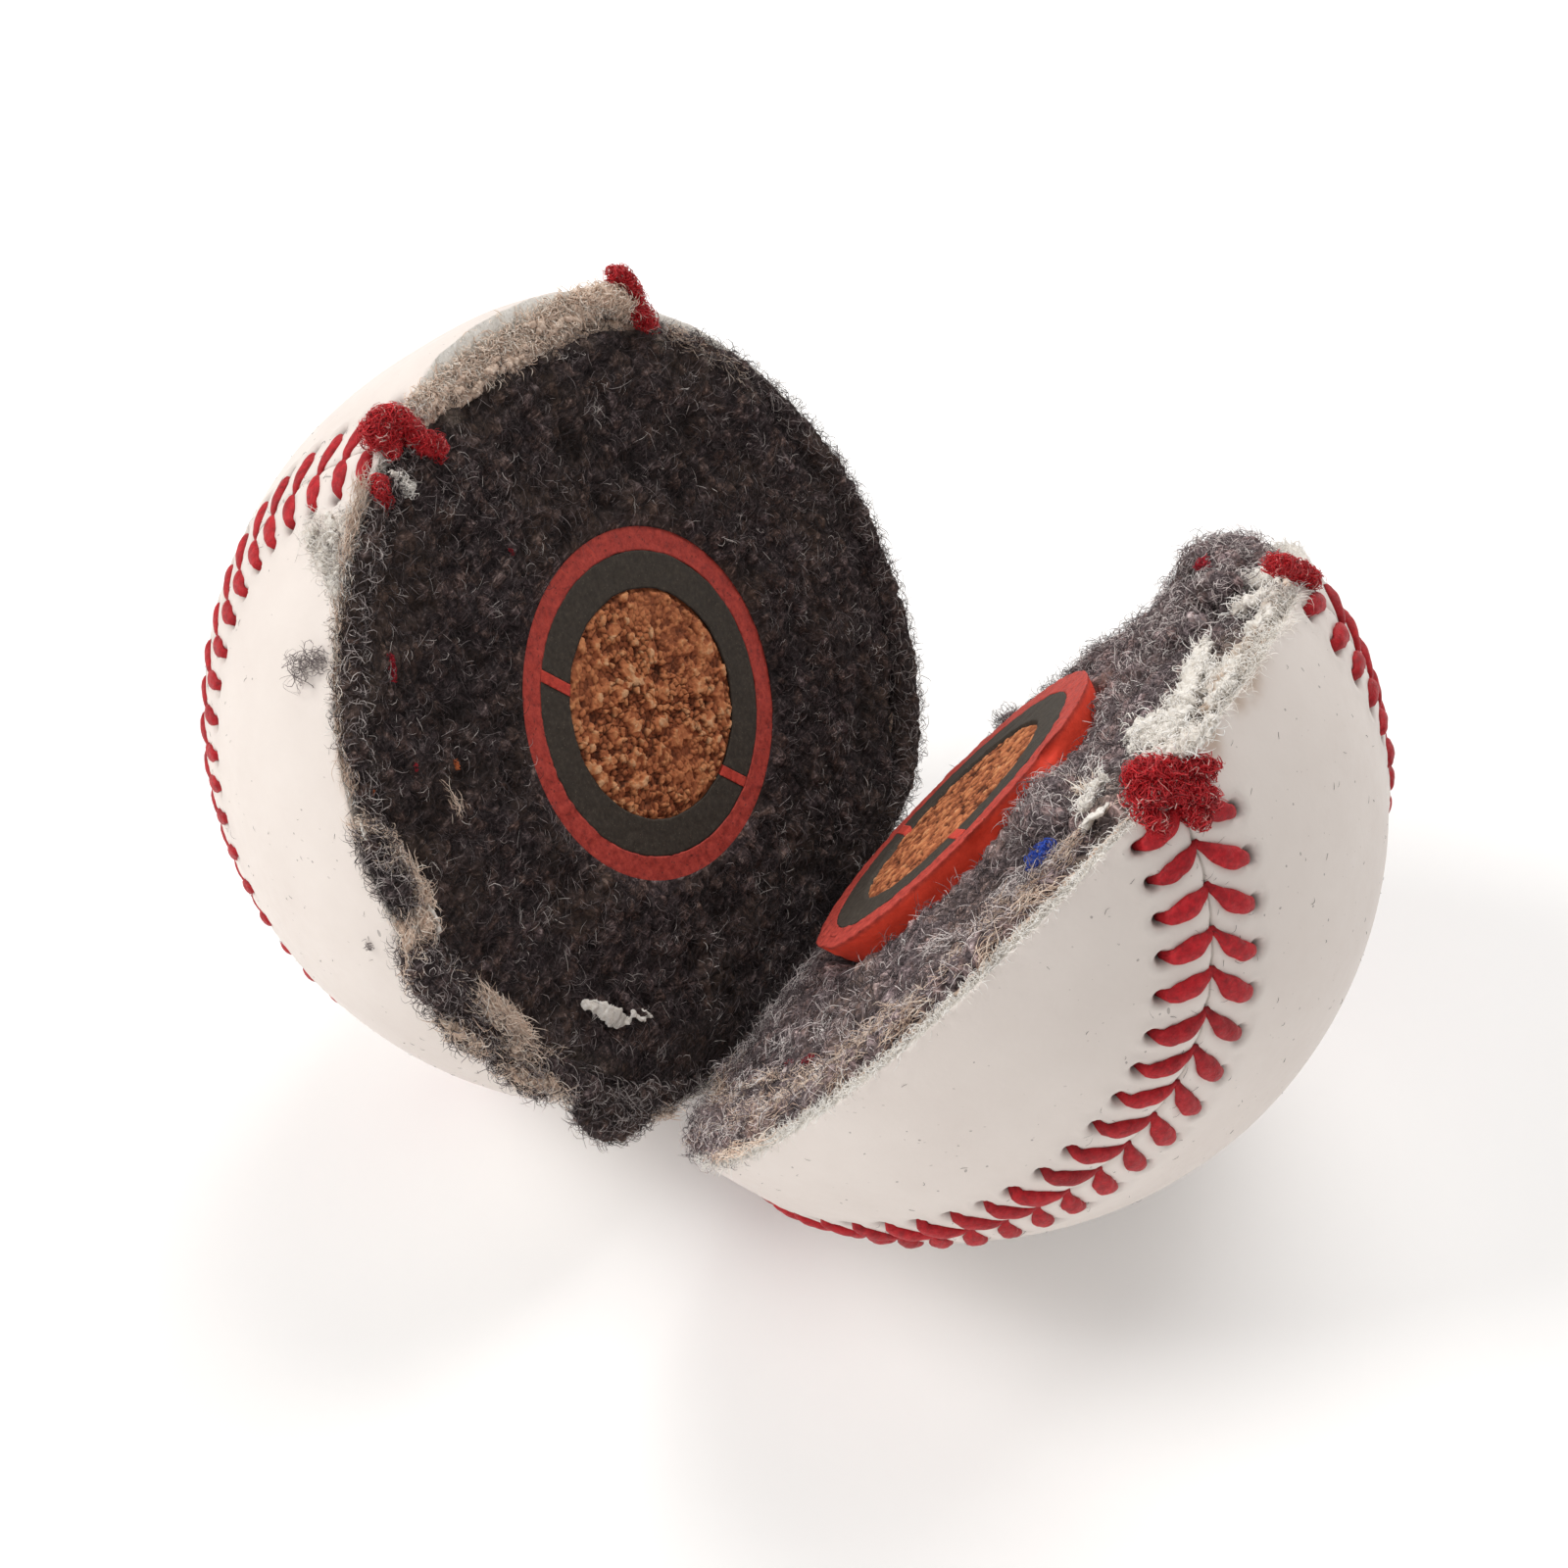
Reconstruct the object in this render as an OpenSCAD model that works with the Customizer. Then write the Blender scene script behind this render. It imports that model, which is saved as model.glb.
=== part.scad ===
// A baseball sawn almost through and opened like a book.
// The two halves lean back on a flat surface and still hang together by the
// strip of cover and yarn that the saw did not reach. X runs across the
// opening from the left half to the right half, Y runs along the fold, Z is up.
// The origin is on the surface, midway under the two halves.

/* [Ball] */
// Radius of the closed ball, over the leather
ball_r = 37; // [36.4:0.1:37.4]
// Thickness of the leather cover
leather_t = 1.3; // [1:0.05:1.6]
// Thickness of the pale finishing yarn under the leather
finish_t = 0.8; // [0.4:0.05:1.2]
// Radius where the inner wool winding ends and the outer one starts
inner_wool_r = 26; // [22:0.5:30]

/* [Core] */
// Radius of the red rubber cover of the core
core_r = 17.4; // [17:0.1:17.8]
// Radius of the two black rubber cups
cup_r = 15; // [14.5:0.1:15.5]
// Radius of the cork centre
cork_r = 11.8; // [11.2:0.1:12.4]
// Thickness of the red washer between the two cups
washer_t = 0.9; // [0.6:0.1:1.2]
// Direction of the washer's tilt, seen on the left sawn face
washer_turn = -57; // [-90:1:0]
// Tilt of the washer's plane
washer_tilt = -28; // [-40:1:-15]

/* [Saw cut] */
// Distance from the ball's centre to the saw cut
cut_off = 5.2; // [3:0.1:7]
// Distance from the middle of the cut face to the end of the cut
cut_depth = 32.9; // [31:0.1:34]
// How far the right core stands out of its wool socket
core_proud = 5; // [4:0.1:5.6]
// How far the wool bulges round the core on the right face
wool_bulge = 2.3; // [1:0.1:3]

/* [Opening] */
// Angle between the two sawn faces as the ball lies
open_angle = 63.6; // [50:0.2:80]
// Largest angle that the halves open to
open_max = 112; // [100:0.5:124]
// How far the leather is pressed flat where each half rests
rest_flat = 0.2; // [0.15:0.01:0.25]

/* [Stitching] */
// Distance between one stitch and the next, along the seam
stitch_pitch = 3.42; // [3.2:0.02:4]
// Distance from the seam to the outer end of a stitch
stitch_reach = 4.2; // [3.6:0.1:4.8]
// How far the outer end lies behind the inner end, along the seam
stitch_lean = 2.4; // [1.5:0.1:3]
// Radius of the stitching thread
thread_r = 0.55; // [0.4:0.05:0.65]
// How deep the thread's middle lies under the leather's surface
thread_sunk = 0.15; // [0.1:0.05:0.3]

/* [Hidden] */
$fn = 72;

// Clearance between neighbouring layers
gap = 0.03;
// Radii of the layers under the leather
under_leather = ball_r - leather_t;
under_finish = under_leather - finish_t;

// Pose of the two halves: both spheres rest on a small flat on the surface
lean = atan(cut_off / cut_depth);
left_tilt = open_angle / 2 - lean;
right_tilt = open_angle / 2 + lean;
fold_z = ball_r - rest_flat - cut_depth * cos(left_tilt) + cut_off * sin(left_tilt);

// Each half is drawn in its own frame: z = 0 is the sawn face, +z points
// out of it, and +x runs in the face to the fold at x = cut_depth.
module place_left() {
    translate([-cut_depth * sin(left_tilt), 0, fold_z + cut_depth * cos(left_tilt)])
        rotate([0, 90 - left_tilt, 0]) children();
}
module place_right() {
    translate([cut_depth * sin(right_tilt), 0, fold_z + cut_depth * cos(right_tilt)])
        rotate([0, right_tilt - 90, 0]) rotate([0, 0, 180]) children();
}

// ---- Seam ----
// The seam's path, half by half, read off the stitches: the angle round the
// sawn face, counted from the fold, and the height over the face's parallel
// through the ball's centre, both in degrees, positive away from the cut.
left_seam = [[-160, -50], [-165, -29], [-165, -13], [-154, 15], [-123, 32],
    [-83, 35], [-45, 36], [-8, 39], [29, 45], [72, 53], [120, 46], [143, 21],
    [150, -7], [146, -29]];
right_seam = [[-152, -30], [-157, -10], [-157, 11], [-142, 37], [-105, 52],
    [-58, 43], [-26, 27], [3, 18], [34, 19], [64, 29], [101, 42], [140, 36],
    [157, 14], [159, -8], [156, -30]];
seam_steps = 5;

function dir(p) = [cos(p[1]) * cos(p[0]), cos(p[1]) * sin(p[0]), -sin(p[1])];
function unit(v) = v / norm(v);
function spline(a, b, c, d, u) = 0.5 * (2 * b + (c - a) * u
    + (2 * a - 5 * b + 4 * c - d) * u * u + (3 * b - a - 3 * c + d) * u * u * u);
function seam_points(path, steps) = let (q = [for (p = path) dir(p)])
    [for (i = [1 : len(q) - 3]) for (k = [0 : steps - 1])
        unit(spline(q[i - 1], q[i], q[i + 1], q[i + 2], k / steps))];
// Lengths along the seam, on the ball's surface
function lengths(p, i = 0, sum = 0) = i >= len(p) ? [] :
    concat([sum + (i == 0 ? 0 : norm(p[i] - p[i - 1]) * ball_r)],
        lengths(p, i + 1, sum + (i == 0 ? 0 : norm(p[i] - p[i - 1]) * ball_r)));
function seam_at(p, s, at) = unit([for (k = [0 : 2])
    lookup(at, [for (i = [0 : len(p) - 1]) [s[i], p[i][k]]])]);

// The neck between the two ends of the seam, past the sawn face
left_neck = [[160, -48], [-178, -52]];
right_neck = [[170, -50], [-165, -48]];

// Everything on the far side of the seam: a cone from the ball's centre
// through the seam, closed round the pole of the half
module seam_knife(path, neck, centre_z) {
    big = 120;
    ring = concat(seam_points(path, seam_steps), [for (p = neck) dir(p)]);
    n = len(ring);
    translate([0, 0, centre_z])
        polyhedron(
            points = concat([[0, 0, 0], [0, 0, -big]], [for (p = ring) p * big]),
            faces = concat(
                [for (i = [0 : n - 1]) [0, 2 + (i + 1) % n, 2 + i]],
                [for (i = [0 : n - 1]) [1, 2 + i, 2 + (i + 1) % n]]));
}

// ---- Shared shapes, in the frame of a half ----
// The end of the cut: a spindle about the fold, as wide as the uncut strip
strip_r = sqrt(ball_r * ball_r - cut_off * cut_off) - cut_depth;
strip_w = sqrt(ball_r * ball_r - cut_off * cut_off - cut_depth * cut_depth);
spindle_flat = strip_w * 0.5;
spindle_tip = 0.5;
spindle_slope = (strip_r - spindle_tip) / (strip_w * 0.52);
module spindle(grow) {
    r1 = strip_r + grow;
    r2 = max(spindle_tip + grow, 0.2);
    end = spindle_flat + (r1 - r2) / spindle_slope;
    translate([cut_depth, 0, 0]) rotate([-90, 0, 0]) rotate_extrude()
        polygon([[0, -end], [r2, -end], [r1, -spindle_flat], [r1, spindle_flat], [r2, end], [0, end]]);
}
// What the fold takes from a half: the spindle, and the outside past the
// largest opening
bevel = 90 - open_max / 2 - 0.4;
module fold_relief(grow) {
    spindle(grow);
    translate([cut_depth, 0, 0]) rotate([0, -bevel, 0])
        translate([0, -30, -30]) cube([30, 60, 60]);
}
module below_face() {
    translate([-60, -60, -100]) cube([120, 120, 100]);
}
// Spheres keep their poles on the vertical of the ball as it lies. Heights
// over the face tell the halves apart: the left ball's centre is below it.
module upright(centre_z) {
    translate([0, 0, centre_z])
        if (centre_z < 0) rotate([0, left_tilt - 90, 0]) children();
        else rotate([0, 0, 180]) rotate([0, 90 - right_tilt, 0]) children();
}
module ball(r, centre_z, lie = 0) {
    upright(centre_z) rotate([0, lie, 0]) sphere(r = r);
}
// The surface that the half rests on
module ground(centre_z) {
    upright(centre_z) translate([-20, -20, rest_flat - ball_r - 10]) cube([40, 40, 10]);
}
module shell(r1, r2, centre_z, lie = 0) {
    difference() {
        ball(r1, centre_z, lie);
        ball(r2, centre_z, lie);
    }
}
// The washer's plane through the core's centre. The right face mirrors the
// left one, so its turn and tilt change sign there.
module washer_plane(centre_z) {
    way = centre_z < 0 ? 1 : -1;
    translate([0, 0, centre_z]) rotate([0, 0, way * washer_turn])
        rotate([0, 90 - way * washer_tilt, 0]) children();
}
module washer_slab(centre_z) {
    washer_plane(centre_z) translate([0, 0, -washer_t / 2]) cylinder(r = 40, h = washer_t);
}
module washer_side(centre_z, side) {
    washer_plane(centre_z)
        translate([0, 0, side > 0 ? washer_t / 2 + gap : -40 - washer_t / 2 - gap]) cylinder(r = 40, h = 40);
}

// ---- Leather and stitching ----
module cover_shell(centre_z, grow) {
    difference() {
        intersection() {
            shell(ball_r, under_leather, centre_z);
            below_face();
        }
        fold_relief(grow);
        ground(centre_z);
    }
}
module panel_a(path, neck, centre_z, grow) {
    color("white") intersection() {
        cover_shell(centre_z, grow);
        seam_knife(path, neck, centre_z);
    }
}
module panel_b(path, neck, centre_z, grow) {
    color("white") difference() {
        cover_shell(centre_z, grow);
        seam_knife(path, neck, centre_z);
    }
}
// One leg of a stitch, a short round bar half sunk in the leather
module leg(a, b) {
    d = b - a;
    translate(a) rotate([0, acos(d[2] / norm(d)), atan2(d[1], d[0])])
        cylinder(r = thread_r, h = norm(d), $fn = 16);
}
module stitches(path, centre_z, way) {
    p = seam_points(path, 12);
    s = lengths(p);
    total = s[len(s) - 1];
    r = ball_r - thread_sunk;
    reach = stitch_reach / ball_r;
    color("firebrick") translate([0, 0, centre_z])
        for (k = [1 : floor(total / stitch_pitch) - 1]) {
            at = k * stitch_pitch;
            c = seam_at(p, s, at);
            // the vees all point one way round the ball
            ahead = seam_at(p, s, at + 0.5);
            t = unit(ahead - c) * way;
            n = cross(c, t);
            // stitches that the saw would touch are left out
            if ((c * r)[2] + centre_z < -2.6)
                for (side = [-1, 1]) {
                    a = unit(c + n * side * (thread_r + 0.15) / ball_r) * r;
                    b = unit(c + n * side * reach + t * stitch_lean / ball_r) * r;
                    // nor does one lie on the bend of the fold
                    if (b[2] + centre_z < -0.8
                        && max(a[0] + (a[2] + centre_z) * tan(bevel),
                            b[0] + (b[2] + centre_z) * tan(bevel)) < cut_depth - 0.8) leg(a, b);
                }
        }
}

// ---- Layers of one half ----
module finishing(centre_z, grow) {
    color("wheat") difference() {
        intersection() {
            shell(under_leather - gap, under_finish, centre_z);
            below_face();
        }
        fold_relief(grow);
    }
}
module outer_wool(centre_z, grow) {
    color("dimgray") difference() {
        intersection() {
            shell(under_finish - gap, inner_wool_r, centre_z);
            children();
        }
        fold_relief(grow);
    }
}
module inner_wool(centre_z, core_z) {
    color("gray") difference() {
        intersection() {
            ball(inner_wool_r - gap, centre_z);
            children();
        }
        ball(core_r + gap, core_z);
    }
}
module core_cut(face_z) {
    translate([-60, -60, face_z - 100]) cube([120, 120, 100]);
}
module core_cover(core_z, face_z) {
    color("red") intersection() {
        shell(core_r, cup_r + gap, core_z);
        core_cut(face_z);
    }
}
module rubber_cup(core_z, face_z, side) {
    // the lower cup of the right half has its spheres' poles level, clear of
    // the cuts
    color("darkslategray") intersection() {
        shell(cup_r, cork_r + gap, core_z, core_z > 0 && side < 0 ? 90 : 0);
        core_cut(face_z);
        washer_side(core_z, side);
    }
}
module core_washer(core_z, face_z) {
    color("tomato") intersection() {
        shell(cup_r, cork_r + gap, core_z);
        core_cut(face_z);
        washer_slab(core_z);
    }
}
module cork(core_z, face_z) {
    color("peru") intersection() {
        ball(cork_r, core_z);
        core_cut(face_z);
    }
}
// The right face: the wool swells towards the core, over a shallow dome
dome_in = 15.5;
dome_r = (under_finish * under_finish - dome_in * dome_in) / (2 * wool_bulge);
dome_h = under_finish * under_finish / (2 * dome_r);
module dome() {
    translate([0, 0, dome_h - dome_r]) rotate([0, 0, 180]) rotate([0, 90 - right_tilt, 0])
        sphere(r = dome_r, $fn = 240);
}

// ---- Left half ----
lc = -cut_off;
module left_cover_panel_a() place_left() panel_a(left_seam, left_neck, lc, 0);
module left_cover_panel_b() place_left() panel_b(left_seam, left_neck, lc, 0);
module left_stitching() place_left() stitches(left_seam, lc, -1);
module left_finishing_yarn() place_left() finishing(lc, 0);
module left_outer_wool() place_left() outer_wool(lc, 0) below_face();
module left_inner_wool() place_left() inner_wool(lc, lc) below_face();
module left_core_cover() place_left() core_cover(lc, 0);
module left_rubber_cup_a() place_left() rubber_cup(lc, 0, 1);
module left_rubber_cup_b() place_left() rubber_cup(lc, 0, -1);
module left_core_washer() place_left() core_washer(lc, 0);
module left_cork_centre() place_left() cork(lc, 0);

// ---- Right half: its core stands out of the wool ----
rc = cut_off;
rcore = cut_off + core_proud;
module right_cover_panel_a() place_right() panel_a(right_seam, right_neck, rc, 0.3);
module right_cover_panel_b() place_right() panel_b(right_seam, right_neck, rc, 0.3);
module right_stitching() place_right() stitches(right_seam, rc, -1);
module right_finishing_yarn() place_right() finishing(rc, 0.3);
module right_outer_wool() place_right() outer_wool(rc, 0.3) dome();
module right_inner_wool() place_right() inner_wool(rc, rcore) dome();
module right_core_cover() place_right() core_cover(rcore, core_proud);
module right_rubber_cup_a() place_right() rubber_cup(rcore, core_proud, 1);
module right_rubber_cup_b() place_right() rubber_cup(rcore, core_proud, -1);
module right_core_washer() place_right() core_washer(rcore, core_proud);
module right_cork_centre() place_right() cork(rcore, core_proud);

// ---- The uncut strip at the fold ----
// Leather on the outside of the fold, wool inside it. Both turn about the fold.
hinge_skin = 1.3;
module fold_wedge(half_angle, mid) {
    // sector of the given half angle about the direction mid, from the fold
    n = 12;
    translate([cut_depth, 30, 0]) rotate([90, 0, 0]) linear_extrude(60)
        polygon(concat([[0, 0]], [for (i = [0 : n])
            let (a = mid - half_angle + 2 * half_angle * i / n) 20 * [cos(a), sin(a)]]));
}
// Direction of the fold's outside, in the left half's frame, as it lies
outside = -open_angle / 2;
module hinge_leather() place_left() color("ivory") intersection() {
    difference() {
        spindle(-0.05);
        spindle(-hinge_skin);
    }
    fold_wedge(58, outside);
}
module hinge_wool() place_left() color("dimgray") intersection() {
    spindle(-hinge_skin - 0.05);
    fold_wedge(148 - 2, outside);
}

left_cover_panel_a();
left_cover_panel_b();
left_stitching();
left_finishing_yarn();
left_outer_wool();
left_inner_wool();
left_core_cover();
left_rubber_cup_a();
left_rubber_cup_b();
left_core_washer();
left_cork_centre();
right_cover_panel_a();
right_cover_panel_b();
right_stitching();
right_finishing_yarn();
right_outer_wool();
right_inner_wool();
right_core_cover();
right_rubber_cup_a();
right_rubber_cup_b();
right_core_washer();
right_cork_centre();
hinge_leather();
hinge_wool();
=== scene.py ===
import math

import bpy
import numpy as np
from mathutils import Matrix, Vector
from mathutils.geometry import delaunay_2d_cdt


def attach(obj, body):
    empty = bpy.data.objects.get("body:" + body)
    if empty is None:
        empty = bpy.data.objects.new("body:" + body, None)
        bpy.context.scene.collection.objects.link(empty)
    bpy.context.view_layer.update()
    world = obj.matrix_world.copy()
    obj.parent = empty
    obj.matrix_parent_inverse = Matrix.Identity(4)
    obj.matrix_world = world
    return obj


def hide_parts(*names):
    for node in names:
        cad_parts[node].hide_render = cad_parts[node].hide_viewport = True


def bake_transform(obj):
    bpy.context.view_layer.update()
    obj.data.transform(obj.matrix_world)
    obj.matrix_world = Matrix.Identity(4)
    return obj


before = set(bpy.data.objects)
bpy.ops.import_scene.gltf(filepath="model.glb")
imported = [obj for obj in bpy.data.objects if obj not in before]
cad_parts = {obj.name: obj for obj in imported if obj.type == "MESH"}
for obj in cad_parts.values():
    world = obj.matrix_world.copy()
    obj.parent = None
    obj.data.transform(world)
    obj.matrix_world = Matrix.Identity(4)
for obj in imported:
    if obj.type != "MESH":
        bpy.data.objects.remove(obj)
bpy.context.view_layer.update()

# ---------------------------------------------------------------- sizes, mm
R = 37.0            # the closed ball, over the leather
LEATHER = 1.3
R_YARN = R - LEATHER - 0.03
R_WOOL = 34.87
R_INNER = 26.0
R_COVER, R_CUP, R_CORK = 17.4, 15.0, 11.8
WASHER = 0.9
CUT_OFF, CUT_DEPTH, PROUD = 5.2, 32.9, 5.0
OPEN, OPEN_MAX, FLAT = 63.6, 112.0, 0.2
PITCH, REACH, LEAN = 3.42, 4.2, 2.4
BEVEL = 90 - OPEN_MAX / 2 - 0.4

rad = math.radians
lean = math.degrees(math.atan(CUT_OFF / CUT_DEPTH))
lt, rt = OPEN / 2 - lean, OPEN / 2 + lean
fold_z = R - FLAT - CUT_DEPTH * math.cos(rad(lt)) + CUT_OFF * math.sin(rad(lt))


def rot_y(a):
    c, s = math.cos(rad(a)), math.sin(rad(a))
    return np.array([[c, 0, s], [0, 1, 0], [-s, 0, c]])


def rot_z(a):
    c, s = math.cos(rad(a)), math.sin(rad(a))
    return np.array([[c, -s, 0], [s, c, 0], [0, 0, 1]])


class Half:
    """One half of the ball, drawn in its own frame: z = 0 is the sawn face, +z
    points out of it, and +x runs in the face to the fold at x = CUT_DEPTH."""

    def __init__(self, name, origin, axes, centre_z, seam, body):
        self.name, self.origin, self.axes, self.body = name, np.array(origin), axes, body
        self.cz = centre_z
        self.c = np.array([0, 0, centre_z])
        self.seam_path = seam

    def world(self, p):
        return (self.origin + np.asarray(p) @ self.axes.T) * 0.001

    def turn(self, v):
        return np.asarray(v) @ self.axes.T


LEFT = Half(
    "left",
    [-CUT_DEPTH * math.sin(rad(lt)), 0, fold_z + CUT_DEPTH * math.cos(rad(lt))],
    rot_y(90 - lt),
    -CUT_OFF,
    [(-160, -50), (-165, -29), (-165, -13), (-154, 15), (-123, 32), (-83, 35), (-45, 36),
     (-8, 39), (29, 45), (72, 53), (120, 46), (143, 21), (150, -7), (146, -29)],
    "left_half",
)
RIGHT = Half(
    "right",
    [CUT_DEPTH * math.sin(rad(rt)), 0, fold_z + CUT_DEPTH * math.cos(rad(rt))],
    rot_y(rt - 90) @ rot_z(180),
    CUT_OFF,
    [(-152, -30), (-157, -10), (-157, 11), (-142, 37), (-105, 52), (-58, 43), (-26, 27),
     (3, 18), (34, 19), (64, 29), (101, 42), (140, 36), (157, 14), (159, -8), (156, -30)],
    "right_half",
)

# ---------------------------------------------------------------- numbers


def _h(ix, iy, iz, seed):
    h = (
        ix.astype(np.int64) * 73856093
        ^ iy.astype(np.int64) * 19349663
        ^ iz.astype(np.int64) * 83492791
        ^ (seed * 2654435 + 1013904223)
    ) & 0xFFFFFFFF
    h = ((h ^ (h >> 15)) * 0x2C1B3C6D) & 0xFFFFFFFF
    h = ((h ^ (h >> 12)) * 0x297A2D39) & 0xFFFFFFFF
    return h ^ (h >> 15)


def noise(p, size, seed=0):
    """Smooth noise from -1 to 1 with lumps of that size, at points p (n, 3)."""
    q = np.asarray(p, float) / size + 1000.0
    i = np.floor(q).astype(np.int64)
    f = q - i
    u = f * f * f * (f * (f * 6 - 15) + 10)
    out = np.zeros(len(q))
    for dx in (0, 1):
        wx = u[:, 0] if dx else 1 - u[:, 0]
        for dy in (0, 1):
            wy = u[:, 1] if dy else 1 - u[:, 1]
            for dz in (0, 1):
                wz = u[:, 2] if dz else 1 - u[:, 2]
                out += wx * wy * wz * (_h(i[:, 0] + dx, i[:, 1] + dy, i[:, 2] + dz, seed) / 4294967295.0)
    return out * 2 - 1


def fbm(p, size, octaves=4, seed=0, gain=0.5):
    out, amp, total = 0.0, 1.0, 0.0
    for k in range(octaves):
        out = out + amp * noise(p, size / 2**k, seed + 17 * k)
        total += amp
        amp *= gain
    return out / total


def cells(p, size, seed=0):
    """Voronoi cells: distance to the nearest and the next point, and the
    nearest one's random number."""
    q = np.asarray(p, float) / size + 1000.0
    i = np.floor(q).astype(np.int64)
    d1 = np.full(len(q), 9.0)
    d2 = np.full(len(q), 9.0)
    pick = np.zeros(len(q))
    flat = np.ptp(q[:, 2]) < 1e-6
    for dx in (-1, 0, 1):
        for dy in (-1, 0, 1):
            for dz in (0,) if flat else (-1, 0, 1):
                a, b, c = i[:, 0] + dx, i[:, 1] + dy, i[:, 2] + dz
                o = [_h(a, b, c, seed + k) / 4294967295.0 for k in (1, 2, 3)]
                d = (a + o[0] - q[:, 0]) ** 2 + (b + o[1] - q[:, 1]) ** 2
                if not flat:
                    d = d + (c + o[2] - q[:, 2]) ** 2
                d = np.sqrt(d)
                near = d < d1
                d2 = np.where(near, d1, np.minimum(d2, d))
                pick = np.where(near, _h(a, b, c, seed + 9) / 4294967295.0, pick)
                d1 = np.where(near, d, d1)
    return d1, d2, pick


def unit(v):
    v = np.asarray(v, float)
    return v / np.maximum(np.linalg.norm(v, axis=-1, keepdims=True), 1e-12)


def smooth(x, a, b):
    t = np.clip((np.asarray(x, float) - a) / (b - a), 0, 1)
    return t * t * (3 - 2 * t)


def direction(az, el):
    az, el = np.radians(az), np.radians(el)
    return np.stack([np.cos(el) * np.cos(az), np.cos(el) * np.sin(az), -np.sin(el)], -1)


def around(az, at, width):
    """1 at the angle at, falling smoothly to 0 at width degrees from it."""
    d = np.abs((np.asarray(az) - at + 180) % 360 - 180)
    return 1 - smooth(d, 0, width)


# ---------------------------------------------------------------- the view

CAM = np.array([95.0, -132.1, 172.7 - FLAT])
CAM_BACK = unit(np.array([0.442, -0.618, 0.650]))
CAM_RIGHT = np.array([0.858, 0.5025, -0.1057])
CAM_RIGHT = unit(CAM_RIGHT - (CAM_RIGHT @ CAM_BACK) * CAM_BACK)
CAM_UP = np.cross(CAM_BACK, CAM_RIGHT)
FOCAL = 2400.0      # in the 1600 x 1600 frame


def sight(px, py):
    return unit(CAM_RIGHT * ((px - 800) / FOCAL) - CAM_UP * ((py - 800) / FOCAL) - CAM_BACK)


def face_at(half, px, py, z=0.0):
    """The point at height z over a half's sawn face that is seen at a pixel."""
    d = half.axes.T @ sight(px, py)
    o = half.axes.T @ (CAM - half.origin)
    return tuple(o + d * ((z - o[2]) / d[2]))


def ball_at(half, px, py, h=0.0):
    """The point at height h over a half's leather that is seen at a pixel."""
    d = half.axes.T @ sight(px, py)
    o = half.axes.T @ (CAM - half.origin) - half.c
    b = o @ d
    disc = max(b * b - (o @ o - (R + h) ** 2), 0.0)
    return tuple(o + d * (-b - math.sqrt(disc)) + half.c)


# ---------------------------------------------------------------- meshes


def build(name, verts, faces, half=None, materials=(), slots=None, smooth_shade=True, values=None, body=None):
    """A mesh piece from points in mm. faces is an array, or a list of arrays,
    of triangles or quads. values holds numbers for each point."""
    verts = np.asarray(verts, float)
    w = half.world(verts) if half is not None else verts * 0.001
    w[:, 2] = np.maximum(w[:, 2], 2e-5)
    groups = [np.asarray(f, np.int64) for f in (faces if isinstance(faces, list) else [faces])]
    groups = [g for g in groups if len(g)]
    loops = np.concatenate([g.ravel() for g in groups])
    counts = np.concatenate([np.full(len(g), g.shape[1]) for g in groups])
    me = bpy.data.meshes.new(name)
    me.vertices.add(len(w))
    me.vertices.foreach_set("co", w.astype(np.float32).ravel())
    me.loops.add(len(loops))
    me.loops.foreach_set("vertex_index", loops.astype(np.int32))
    me.polygons.add(len(counts))
    me.polygons.foreach_set("loop_start", np.concatenate([[0], np.cumsum(counts)[:-1]]).astype(np.int32))
    if slots is not None:
        me.polygons.foreach_set("material_index", np.asarray(slots, np.int32))
    me.update(calc_edges=True)
    me.polygons.foreach_set("use_smooth", np.full(len(counts), smooth_shade))
    for key, v in (values or {}).items():
        a = me.attributes.new(key, "FLOAT", "POINT")
        a.data.foreach_set("value", np.asarray(v, np.float32))
    me.validate()
    ob = bpy.data.objects.new(name, me)
    bpy.context.scene.collection.objects.link(ob)
    for m in materials:
        me.materials.append(m)
    where = body or (half.body if half is not None else None)
    if where:
        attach(ob, where)
    return ob


def join(parts):
    """Joins (verts, faces, values) parts, faces being lists of arrays, into one."""
    v, f3, f4, vals, n = [], [], [], {}, 0
    for verts, faces, values in parts:
        v.append(verts)
        for g in faces if isinstance(faces, list) else [faces]:
            g = np.asarray(g, np.int64)
            if len(g):
                (f3 if g.shape[1] == 3 else f4).append(g + n)
        for k, a in values.items():
            vals.setdefault(k, []).append(a)
        n += len(verts)
    faces = [np.concatenate(f) for f in (f3, f4) if f]
    return np.concatenate(v), faces, {k: np.concatenate(a) for k, a in vals.items()}


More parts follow.
